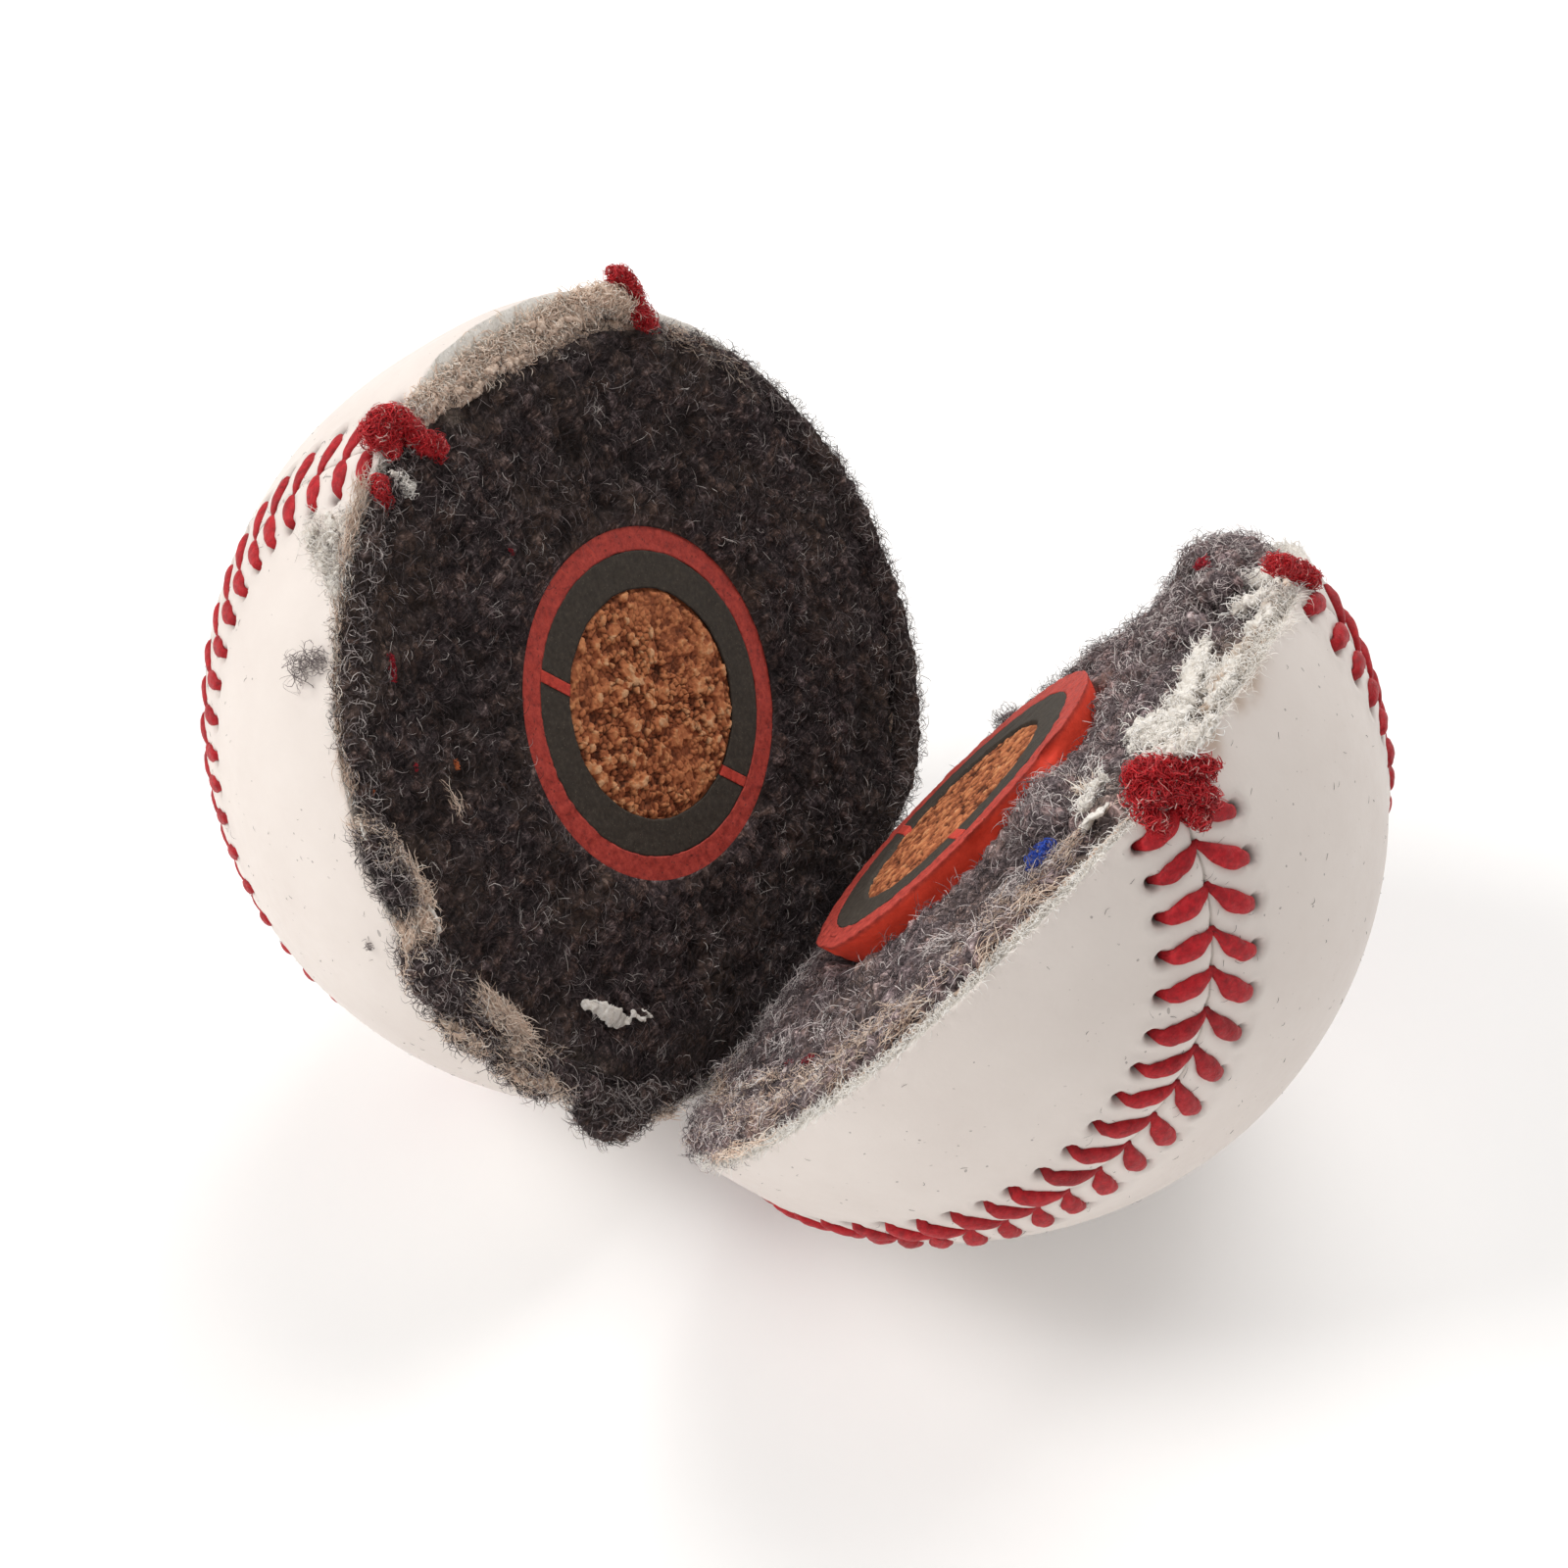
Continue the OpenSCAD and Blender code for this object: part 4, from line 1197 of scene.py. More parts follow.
def core(half, face_z, cz, rng):
    seed = 100 if half is LEFT else 200
    name = half.name

    def ring_wobble(v, r0, r1, top, amp_in, amp_out, rough, k):
        """Makes a sawn ring's two edges waver and its face uneven."""
        x, y, z = v[..., 0], v[..., 1], v[..., 2]
        r = np.hypot(x, y)
        flat = np.stack([x / np.maximum(r, 1e-6) * 14, y / np.maximum(r, 1e-6) * 14, 0 * x], -1).reshape(-1, 3)
        wob = fbm(flat, 1.6, 3, seed + k).reshape(r.shape)
        wob2 = fbm(flat, 1.3, 3, seed + k + 5).reshape(r.shape)
        near_top = smooth(z, top - 0.8, top - 0.1)
        t = np.clip((r - r0) / max(r1 - r0, 1e-6), 0, 1)
        dr = (amp_in * wob * (1 - t) + amp_out * wob2 * t) * near_top
        p = np.stack([x, y, 0 * x], -1).reshape(-1, 3)
        dz = rough * fbm(p, 0.9, 4, seed + k + 9).reshape(r.shape) * near_top
        s = (r + dr) / np.maximum(r, 1e-6)
        return np.stack([x * s, y * s, z + dz], -1)

    # red cover
    ro, ri = math.sqrt(R_COVER**2 - (face_z - cz) ** 2), math.sqrt((R_CUP + 0.03) ** 2 - (face_z - cz) ** 2)
    face = [(r, face_z) for r in np.linspace(ri, ro, 15)]
    low = cz - R_COVER
    prof = np.concatenate([face, arc(R_COVER, cz, face_z - 0.12, low + 0.02, 46), arc(R_CUP + 0.03, cz, cz - R_CUP, face_z - 0.12, 30)])
    prof[15:61, 0] = np.maximum(prof[15:61, 0], 0.05)
    v, f = lathe(prof, 420, lambda v: ring_wobble(v, ri, ro, face_z, 0.10, 0.10, 0.10, 1))
    x, y, z = v[:, 0], v[:, 1], v[:, 2]
    wall = smooth(face_z - z, 0.05, 0.35)
    if half is RIGHT:
        # nicks in the standing wall, and the mark of a mould line
        r = np.hypot(x, y)
        az = np.degrees(np.arctan2(y, x))
        for at, w, d, zz in ((172, 5.0, 0.9, 4.6), (139, 3.0, 0.55, 4.0), (60, 6.0, 0.5, 4.6)):
            k = np.exp(-(((az - at + 180) % 360 - 180) / w) ** 2) * np.exp(-(((z - zz) / 0.7) ** 2)) * (r > ri + 1.2)
            s = 1 - d * k / np.maximum(r, 1)
            v[:, 0] *= s
            v[:, 1] *= s
        k = 0.10 * np.exp(-(((z - 3.1) / 0.16) ** 2)) * (np.hypot(v[:, 0], v[:, 1]) > ri + 1.5)
        v[:, :2] *= (1 - k / np.maximum(r, 1))[:, None]
        v = v + 0.05 * (fbm(v, 1.4, 3, 210)[:, None]) * unit(np.stack([x, y, 0 * x], 1)) * (z < face_z - 0.05)[:, None]
    ob = build(f"{name}_core_red_cover", v, [f[:, ::-1]], half, [RED_M], None, True, {"wall": wall})
    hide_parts(f"{name}_core_cover")

    # black cups and the washer between them: one shell, cut by the washer
    co, ci = math.sqrt(R_CUP**2 - (face_z - cz) ** 2), math.sqrt((R_CORK + 0.03) ** 2 - (face_z - cz) ** 2)
    way = 1 if half is LEFT else -1
    turn, tilt = way * -57, way * -28
    no = rot_z(turn) @ rot_y(90 - tilt) @ np.array([0, 0, 1.0])
    no_w = half.turn(no)
    centre = np.array([0, 0, cz])

    def plane(d, sign):
        return (Vector(half.world(centre + no * d)), Vector(no_w * sign))

    def shell_verts(k, ai, ao):
        face = [(r, face_z) for r in np.linspace(ci, co, 18)]
        prof = np.concatenate([face, arc(R_CUP, cz, face_z - 0.12, cz - R_CUP + 0.02, 34),
                               arc(R_CORK + 0.03, cz, cz - R_CORK, face_z - 0.12, 26)])
        return lathe(prof, 400, lambda v: ring_wobble(v, ci, co, face_z, ai, ao, 0.06, k))

    for node, material, slot, planes in (
        ("rubber_cup_a", BLACK_M, "black_rubber", [plane(WASHER / 2 + 0.02, -1)]),
        ("rubber_cup_b", BLACK_M, "black_rubber", [plane(-WASHER / 2 - 0.02, 1)]),
        ("core_washer", RED_M, "red_rubber", [plane(WASHER / 2, 1), plane(-WASHER / 2, -1)]),
    ):
        v, f = shell_verts(3, 0.12, 0.08)
        if node == "core_washer":
            v[:, 2] += 0.05 * smooth(v[:, 2], face_z - 0.5, face_z)
        ob = build(f"{name}_{node}_sawn", v, [f[:, ::-1]], half, [material], None, True, {"wall": 0.25 * np.ones(len(v))})
        slice_shell(ob, planes)
        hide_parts(f"{name}_{node}")

    # cork: granules with crevices between them
    rk = math.sqrt(R_CORK**2 - (face_z - cz) ** 2)
    n_r, cols = 92, 520
    radii = np.linspace(0.02, rk - 0.03, n_r)
    az = np.linspace(0, 2 * np.pi, cols, endpoint=False)
    x, y = radii[:, None] * np.cos(az), radii[:, None] * np.sin(az)
    p = np.stack([x.ravel(), y.ravel(), np.zeros(x.size)], 1)
    warped = p + 0.18 * np.stack([fbm(p, 0.8, 2, seed + 31), fbm(p, 0.8, 2, seed + 32), 0 * p[:, 0]], 1)
    d1, d2, pick = cells(warped, 0.62, seed + 33)
    e1, e2, pick2 = cells(warped, 1.25, seed + 36)
    edge = d2 - d1
    edge2 = e2 - e1
    rough = fbm(p, 0.35, 3, seed + 37)
    smooth_part = smooth(fbm(p, 7.0, 2, seed + 38) + 0.035 * (-p[:, 1] * 0 - p[:, 0]) + 0.02 * p[:, 1], 0.02, 0.5)
    gran = (pick - 0.5) * 0.42 * (1 - 0.55 * smooth_part) + (pick2 - 0.5) * 0.28
    if half is RIGHT:
        # cut more cleanly than the left one
        gran = 0.40 * gran - 0.22
    # crack marks the crevices between granules: they are sunk, and darkened as painted shade
    crack = (1 - smooth(edge, 0.02, 0.20)) * (1 - 0.6 * smooth_part) * (pick2 < 0.8)
    z = face_z - 0.02 + gran + 0.05 * rough - (0.30 if half is LEFT else 0.22) * crack * (0.4 + 0.6 * pick)
    z = z - 0.25 * smooth(np.hypot(p[:, 0], p[:, 1]), rk - 0.5, rk)
    grain = np.clip(0.5 + 0.75 * (pick - 0.5) * (1 - 0.3 * smooth_part) + 0.22 * rough + 0.35 * (pick2 - 0.5) - (0.0 if half is LEFT else 0.16), 0, 1)
    top = np.stack([p[:, 0], p[:, 1], z], 1)
    prof = arc(R_CORK, cz, face_z - 0.35, cz - R_CORK + 0.01, 20)
    under = np.stack([prof[:, None, 0] * np.cos(az), prof[:, None, 0] * np.sin(az), prof[:, None, 1] + 0 * az], -1).reshape(-1, 3)
    v = np.concatenate([top, under, [[0, 0, float(z[:cols].mean())], [0, 0, cz - R_CORK]]])
    rows = n_r + 20
    f = grid_faces(rows, cols, True)
    j = np.arange(cols)
    caps = np.concatenate([
        np.stack([j, (j + 1) % cols, np.full(cols, rows * cols)], 1)[:, ::-1],
        np.stack([(rows - 1) * cols + j, (rows - 1) * cols + (j + 1) % cols, np.full(cols, rows * cols + 1)], 1),
    ])
    pad = len(v) - len(top)
    ob = build(f"{name}_cork_granules", v, [caps[:, ::-1], f[:, ::-1]], half, [CORK_M], None, True,
               {"grain": np.concatenate([grain, np.full(pad, 0.4)]), "crack": np.concatenate([crack, np.zeros(pad)])})
    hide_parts(f"{name}_cork_centre")


# ---------------------------------------------------------------- yarn under the leather


def yarn(half, rng):
    """The pale finishing yarn: a thin shell whose sawn edge frays over the wool."""
    cols = 900
    az = np.linspace(-180, 180, cols, endpoint=False)
    ca, sa = np.cos(np.radians(az)), np.sin(np.radians(az))
    p = np.stack([ca * 35, sa * 35, 0 * az], -1)
    inner = wool_edge(half, az) - 0.5
    r_out = math.sqrt(R_YARN**2 - half.cz**2)
    rows, olive = [], []
    n = 12
    for k in range(n + 1):
        t = k / n
        r = inner + (r_out - inner) * t
        x, y = r * ca, r * sa
        q = np.stack([x, y, 0 * x], -1)
        z = 0.10 + 0.30 * fbm(q, 1.1, 3, 95) + 0.35 * np.sin(np.pi * t) * (0.7 + fbm(q, 4.0, 2, 96))
        if half is LEFT:
            z = z * (0.5 + around(az, -178, 55)) - 0.35 * (1 - around(az, -178, 70))
        else:
            z = z * 0.6 + 0.15
        z = z - 0.5 * smooth(t, 0.9, 1.0)
        rows.append(trim_fold(half, np.stack([x, y, z], 1)))
        olive.append(smooth(t, 0.80, 0.93) * smooth(fbm(q, 6.0, 2, 97), -0.6, 0.2))
    for e in np.linspace(math.degrees(math.asin((half.cz + 0.9) / R_YARN)), 86, 13):
        v = trim_fold(half, direction(az, np.full(cols, e)) * R_YARN + half.c)
        rows.append(v)
        olive.append(np.zeros(cols))
    for e in np.linspace(86, math.degrees(math.asin((half.cz + 1.4) / (R_WOOL + 0.03))), 13):
        v = trim_fold(half, direction(az, np.full(cols, e)) * (R_WOOL + 0.03) + half.c)
        rows.append(v)
        olive.append(np.zeros(cols))
    rows = np.array(rows)
    total = len(rows)
    f = grid_faces(total, cols, True)
    j = np.arange(cols)
    close = np.stack([(total - 1) * cols + j, (total - 1) * cols + (j + 1) % cols, (j + 1) % cols, j], 1)
    ob = build(f"{half.name}_finishing_yarn_band", rows.reshape(-1, 3), [np.concatenate([f, close])[:, ::-1]], half, [YARN_M], None, True,
               {"olive": np.concatenate(olive)})
    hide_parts(f"{half.name}_finishing_yarn")
    return ob


# ---------------------------------------------------------------- build the halves

rng = np.random.default_rng(7)
for h in (LEFT, RIGHT):
    leather(h)
    stitching(h, rng)
    yarn(h, rng)
wool_layer(LEFT, "outer_wool", R_INNER, None, 760, 0.28, WOOL_L)
wool_layer(LEFT, "inner_wool", 16.3, R_INNER, 600, 0.28, WOOL_L, LEFT.cz)
wool_layer(RIGHT, "outer_wool", R_INNER, None, 760, 0.28, WOOL_R)
wool_layer(RIGHT, "inner_wool", 16.6, R_INNER, 600, 0.28, WOOL_R, CUT_OFF + PROUD)
core(LEFT, 0.0, -CUT_OFF, rng)
core(RIGHT, PROUD, CUT_OFF + PROUD, rng)

# ---------------------------------------------------------------- loose fibres


def through(points, n):
    """n points on a smooth line through points."""
    q = np.asarray(points, float)
    q = np.concatenate([[2 * q[0] - q[1]], q, [2 * q[-1] - q[-2]]])
    out = []
    for i in range(1, len(q) - 2):
        t = np.linspace(0, 1, 40, endpoint=False)[:, None]
        a, b, c, d = q[i - 1], q[i], q[i + 1], q[i + 2]
        out.append(0.5 * (2 * b + (c - a) * t + (2 * a - 5 * b + 4 * c - d) * t**2 + (3 * b - a - 3 * c + d) * t**3))
    out = np.concatenate(out + [q[-2:-1]])
    s = np.concatenate([[0], np.cumsum(np.linalg.norm(np.diff(out, axis=0), axis=1))])
    return np.stack([np.interp(np.linspace(0, s[-1], n), s, out[:, k]) for k in range(3)], 1)


def lump(points, radii, seed, rows=70, cols=36, amp=0.30, size=1.1, flatten=None, up=None):
    """A felted clump along a line: a closed lumpy tube. Gives the mesh with
    its values, and points with normals for hairs to grow from."""
    path = through(points, rows)
    t = np.linspace(0, 1, rows)
    r = np.interp(t, np.linspace(0, 1, len(radii)), radii)
    r = r * np.sqrt(np.clip(1 - (2 * t - 1) ** 8, 0.02, 1))
    v, f, val = tubes(path[None], r[None], cols, None if flatten is None else np.array([flatten]),
                      None if up is None else np.array([up], float))
    c = np.concatenate([np.repeat(path, cols, 0), path[:1], path[-1:]])
    n = unit(v - c)
    bump, crease, pick = felt(v, seed, size)
    v = v + n * (amp * (bump - 0.6) + 0.5 * amp * fbm(v, 0.5, 2, seed + 8))[:, None]
    # the creases go out as pit, which the materials darken as painted shade
    return (v, f, {"pit": 0.8 * crease, "pale": np.zeros(len(v)), "shade": pick}), v, n


def grow(samples, rng, count, length, radius, curl=2.0, lift=0.6, tone=None, segs=4, along=None):
    """Hairs from a clump's surface."""
    v, n = samples
    k = rng.integers(0, len(v), count)
    jit = rng.normal(0, 0.12, (count, 3))
    return fibres(v[k] + jit, n[k], rng, length, radius, curl, lift, segs, tone, along)


def tangle(path, spread, count, length, radius, rng, sides=4, segs=9, flat=None, lo=0.0, hi=1.0):
    """Unravelled thread: curly strands tangled about a line."""
    p = through(path, 50)
    k = rng.integers(0, 50, count)
    off = rng.normal(size=(count, 3))
    off = unit(off) * (rng.random(count)[:, None] ** 0.5) * spread
    if flat is not None:
        u = unit(np.array(flat, float))
        off = off - 0.55 * (off @ u)[:, None] * u
    d = unit(rng.normal(size=(count, 3)))
    e1 = unit(np.cross(d, rng.normal(size=(count, 3))))
    e2 = np.cross(d, e1)
    s = np.linspace(-0.5, 0.5, segs)
    L = length * (0.5 + rng.random(count))
    w = 2.5 + 4.5 * rng.random(count)
    ph = rng.random(count) * 6.28
    a1 = L[:, None] * 0.16 * np.sin(w[:, None] * s * 2 + ph[:, None])
    a2 = L[:, None] * 0.16 * np.cos(w[:, None] * s * 1.7 + 2 * ph[:, None])
    q = (p[k] + off)[:, None, :] + d[:, None] * (L[:, None] * s)[..., None] + e1[:, None] * a1[..., None] + e2[:, None] * a2[..., None]
    # strands are drawn in towards the line, so the tuft holds together
    cen = p[k][:, None, :]
    away = np.linalg.norm(q - cen, axis=2, keepdims=True)
    lim = spread * 1.35
    q = cen + (q - cen) * np.where(away > lim, (lim + 0.30 * (away - lim)) / np.maximum(away, 1e-6), 1.0)
    r = radius * (0.7 + 0.6 * rng.random(count))[:, None] * (1 - 0.6 * np.abs(2 * s[None]) ** 3)
    tone = np.clip(lo + (hi - lo) * rng.beta(1.5, 1.5, count), 0, 1)
    return tubes(q, r, sides, tones=tone, slim=True)


def shred(points, width, seed, thick=0.20, up=(0, 0, 1), rows=60, cols=24, ragged=0.5):
    """A torn scrap of leather: a thin crumpled strip with a ragged outline."""
    path = through(points, rows)
    t = np.linspace(0, 1, rows)
    wide = np.interp(t, np.linspace(0, 1, len(width)), width)
    p = np.stack([t * 30, 0 * t, 0 * t + seed], 1)
    wide = wide * (1 + ragged * fbm(p, 2.0, 3, seed))
    path = path + 0.25 * np.stack([fbm(p, 5.0, 2, seed + k) for k in (1, 2, 3)], 1)
    v, f, _ = tubes(path[None], wide[None], cols, np.array([thick]), np.array([up], float))
    n = 0.16 * fbm(v, 0.7, 3, seed + 4)[:, None] * np.array(up, float)
    e = 0.16 * np.stack([fbm(v, 0.45, 2, seed + k) for k in (5, 6, 7)], 1)
    v = v + n + e
    return v, f, {"stain": np.zeros(len(v)), "painted_shade": np.zeros(len(v))}


def triangles(faces):
    """How many triangles a part's faces make."""
    return sum(len(g) * (np.asarray(g).shape[1] - 2) for g in (faces if isinstance(faces, list) else [faces]) if len(g))


def put(half, name, parts, material, body=None, most=150000):
    """Builds parts as one object, or as several where they are many, so that none is too heavy."""
    batches, held = [[]], 0
    for part in parts:
        n = triangles(part[1])
        if batches[-1] and held + n > most:
            batches.append([])
            held = 0
        batches[-1].append(part)
        held += n
    for k, batch in enumerate(batches):
        v, f, val = join(batch)
        ob = build(name if k == 0 else f"{name}_{k + 1}", v, f, half, [material], None, True, val, body)


def face_pts(*rows):
    return [tuple(r) for r in rows]


def ball_pt(half, az, el, h=0.0):
    return tuple(direction(az, el) * (R + h) + half.c)


def edge_line(rows):
    """Points on the face from (azimuth, radius, height) rows."""
    return [(r * math.cos(rad(a)), r * math.sin(rad(a)), z) for a, r, z in rows]


# ---- felt hairs over the two faces, in batches


def two_tone(g, n, light=0.26):
    """Shades for hairs: most dark, some light."""
    t = 0.55 * g.beta(1.4, 2.2, n)
    k = g.random(n) < light
    t[k] = 0.58 + 0.42 * g.beta(1.6, 1.6, k.sum())
    return t


for h, mat, n_batch, seed in ((LEFT, FIBRE_L, 5, 301), (RIGHT, FIBRE_R, 5, 401)):
    for k in range(n_batch):
        g = np.random.default_rng(seed + k)
        p, n = on_face(h, g, 6400, 17.3 if h is LEFT else 18.4, 35.0 if h is LEFT else 34.6)
        pit = wool_height(h, p[:, 0], p[:, 1])[1]
        # hairs stand on the lumps more than in the creases
        keep = g.random(len(p)) > 0.55 * pit
        p, n, pit = p[keep], n[keep], pit[keep]
        long = k == n_batch - 1
        # locks: hairs nearby lie the same way and have the same shade
        turn = 9.0 * fbm(p, 3.0, 2, 851) + 0.6 * g.normal(size=len(p))
        comb = np.stack([np.cos(turn), np.sin(turn), 0 * turn], 1)
        lock = smooth(fbm(p, 1.5, 2, 852), -0.35, 0.45)
        # painted shade: hairs in the creases are darker
        tone = two_tone(g, len(p), 0.34 if long else 0.28) * (1 - 0.5 * pit) * (0.35 + 0.95 * lock)
        v, f, val = fibres(p, n, g, 2.0 if long else 1.4, 0.022 if long else 0.030, 1.3 if long else 1.7, 0.55 if long else 0.42, 4, np.clip(tone, 0, 1), comb)
        ob = build(f"{h.name}_wool_hairs_{k + 1}", v, f, h, [mat], None, True, val)

rng = np.random.default_rng(23)


def on_wool(half, px, py, lift=0.3):
    """The point of the felted face, raised by lift, that is seen at a pixel."""
    z = 1.0
    for _ in range(12):
        x, y, _z = face_at(half, px, py, z)
        z = 0.5 * z + 0.5 * (wool_height(half, np.array([x]), np.array([y]))[0][0] + lift)
    return face_at(half, px, py, z)


def hairy(lumps, hairs, pts, rr, seed, count, length=1.7, amp=0.42, size=1.1, rows=70, cols=34, light=0.40):
    mesh, v, n = lump(pts, rr, seed, rows=rows, cols=cols, amp=amp, size=size)
    lumps.append(mesh)
    hairs.append(grow((v, n), rng, count, length, 0.030, 1.8, 0.6, two_tone(rng, count, light)))


# ---- the left half

left_wool, left_hair, left_cream, left_white = [], [], [], []
# wool hanging over the leather's edge, right of the face and under it
rim_a = edge_line([(-104, 34.3, 0.2), (-96, 34.9, 0.2), (-86, 35.3, 0.2), (-76, 35.4, 0.2), (-66, 35.5, 0.3), (-57, 35.8, 0.4),
                   (-50, 36.2, 0.4), (-42, 35.9, 0.3), (-34, 35.2, 0.0), (-28, 34.6, -0.4)])
rim_b = edge_line([(26, 34.2, -0.2), (33, 34.8, 0.1), (42, 36.2, 0.3), (55, 36.6, 0.4), (68, 36.2, 0.4), (85, 35.6, 0.4),
                   (100, 35.1, 0.3), (118, 34.8, 0.2), (132, 34.8, 0.1), (140, 34.4, 0.0)])
hairy(left_wool, left_hair, rim_a, [0.6, 0.9, 1.1, 1.0, 1.1, 1.2, 1.3, 1.1, 1.0, 0.7], 500, 3000, 1.6, 0.45, 1.25, 260)
hairy(left_wool, left_hair, rim_b, [0.8, 1.1, 1.35, 1.35, 1.3, 1.2, 1.15, 1.1, 0.9, 0.6], 520, 4200, 1.7, 0.45, 1.25, 330)
rim_e = edge_line([(-166, 34.4, 0.1), (-158, 34.9, 0.4), (-148, 35.2, 0.5), (-138, 35.4, 0.5), (-128, 35.5, 0.5), (-118, 35.3, 0.4), (-108, 34.9, 0.2)])
hairy(left_wool, left_hair, rim_e, [0.4, 0.6, 0.75, 0.7, 0.8, 0.7, 0.5], 530, 2600, 1.5, 0.50, 1.0, 260)
# dark clumps between the pale ones at the lower left, by where they are seen
for pts, rr, seed in (
    ([(372, 842, 0.2), (384, 866, 0.8), (392, 886, 0.3)], [0.5, 0.95, 0.5], 541),
    ([(388, 880, 0.2), (402, 902, 0.9), (412, 928, 0.4)], [0.6, 1.1, 0.6], 542),
    ([(416, 950, 0.3), (428, 985, 0.9), (446, 1010, 0.7), (468, 1030, 0.4)], [0.6, 1.3, 1.4, 0.7], 543),
    ([(452, 1028, -0.2), (478, 1052, 0.3), (502, 1066, 0.2)], [0.6, 1.2, 0.7], 544),
    ([(500, 1072, -0.2), (530, 1096, 0.3), (560, 1112, 0.1)], [0.5, 0.9, 0.6], 548),
    # the rounded tuft beside the fold
    ([(588, 1128, -0.3), (602, 1142, 0.3), (624, 1148, 0.4), (648, 1138, 0.3), (664, 1128, 0.2)], [0.7, 1.2, 1.3, 1.1, 0.7], 545),
    ([(600, 1130, 0.6), (622, 1134, 1.0), (648, 1124, 0.8)], [0.8, 1.2, 0.9], 546),
):
    hairy(left_wool, left_hair, [face_at(LEFT, *q) for q in pts], rr, seed, 700, 1.5, 0.42, 0.95)
# sparse dark curls lying on the leather, and dark fuzz beside the clumps
c0 = direction(-130.4, -3.3)
left_hair.append(tangle([ball_pt(LEFT, -131.5, -4.0, 0.35), ball_pt(LEFT, -130.4, -3.2, 0.55), ball_pt(LEFT, -129.3, -2.6, 0.35)], 1.35, 44, 2.8, 0.028, rng, 3, 13, c0, 0.3, 1.0))
left_hair.append(tangle([ball_pt(LEFT, -132.4, -6.0, 0.2), ball_pt(LEFT, -130.4, -5.8, 0.25)], 0.8, 24, 2.0, 0.028, rng, 3, 11, c0, 0.3, 1.0))
left_hair.append(tangle([ball_pt(LEFT, -93.8, -1.9, 0.06), ball_pt(LEFT, -93.0, -2.2, 0.06)], 0.40, 16, 1.0, 0.025, rng, 3, 9, direction(-93.8, -2), 0.3, 0.8))
for q in ([(384, 878, 0.5), (392, 890, 0.8), (398, 900, 0.6)], [(396, 902, 0.5), (404, 914, 0.9), (408, 930, 0.6)], [(370, 856, 0.3), (378, 868, 0.5)]):
    left_hair.append(tangle([face_at(LEFT, *w) for w in q], 0.55, 70, 1.5, 0.034, rng, 3, 9, None, 0.0, 0.6))

# cream yarn: mottled crumbs between the leather and the wool
band = [face_at(LEFT, *w) for w in ((424, 426, 0.2), (440, 412, 0.4), (462, 395, 0.45), (486, 380, 0.45), (512, 364, 0.45), (540, 347, 0.45),
                                    (570, 330, 0.5), (598, 313, 0.6), (618, 302, 0.7), (634, 302, 0.6))]
g = np.random.default_rng(61)
samples = through(band, 900)
off = unit(np.stack([samples[:, 0], samples[:, 1], 0 * samples[:, 0]], 1))
count = 4600
k = g.integers(0, 900, count)
wide = 0.48 + 0.38 * smooth(k / 900.0, 0.10, 0.35) - 0.30 * smooth(k / 900.0, 0.70, 0.95)
side = g.normal(0, 1.0, count) * wide
tang = np.cross(np.array([0, 0, 1.0]), off)
pos = samples[k] + off[k] * (side + 0.35 - 0.55 * smooth(k / 900.0, 0.6, 0.9))[:, None]
left_cream.append(fibres(pos, unit(np.array([0, 0, 1.0]) + 0.4 * off[k]), g, 1.0, 0.052, 2.0, 0.35, 4, np.clip(np.where(g.random(count) < 0.14, 0.0, 0.45) + 0.55 * g.beta(1.8, 1.2, count), 0, 1), 0.9 * tang[k] * np.sign(g.normal(size=count))[:, None]))
crumbs = []
for i in range(26):
    t = int(40 + 820 * (i + g.random()) / 26)
    c = samples[t] + off[t] * g.normal(0, 0.55) + np.array([0, 0, 0.22])
    d = tang[t] * (0.5 + 0.5 * g.random()) + off[t] * g.normal(0, 0.2)
    r0 = 0.16 + 0.22 * g.random() ** 2
    mesh = lump([c - d, c + np.array([0, 0, 0.1]), c + d], [r0 * 0.5, r0, r0 * 0.5], 900 + i, rows=22, cols=14, amp=0.26, size=0.4)[0]
    crumbs.append((mesh[0], mesh[1], {"olive": 0.12 * g.random() * np.ones(len(mesh[0]))}))
# a cream clump under the second tuft of thread
for i, (q, rr) in enumerate((([(604, 308, 0.4), (618, 304, 0.7), (630, 308, 0.6)], [0.5, 0.80, 0.5]), ([(622, 314, 0.6), (636, 310, 0.9), (646, 320, 0.6)], [0.4, 0.75, 0.4]), ([(584, 312, 0.2), (600, 304, 0.4)], [0.4, 0.6]))):
    mesh, v, n = lump([face_at(LEFT, *w) for w in q], rr, 930 + i, amp=0.35, size=0.7)
    # painted shade: the olive darkening follows the clump's creases
    crumbs.append((mesh[0], mesh[1], {"olive": 0.2 * mesh[2]["pit"]}))
    left_cream.append(grow((v, n), g, 420, 1.1, 0.045, 2.0, 0.5, np.clip(0.2 + 0.8 * g.beta(1.8, 1.2, 420), 0, 1)))
put(LEFT, "left_yarn_crumbs", crumbs, YARN_M)


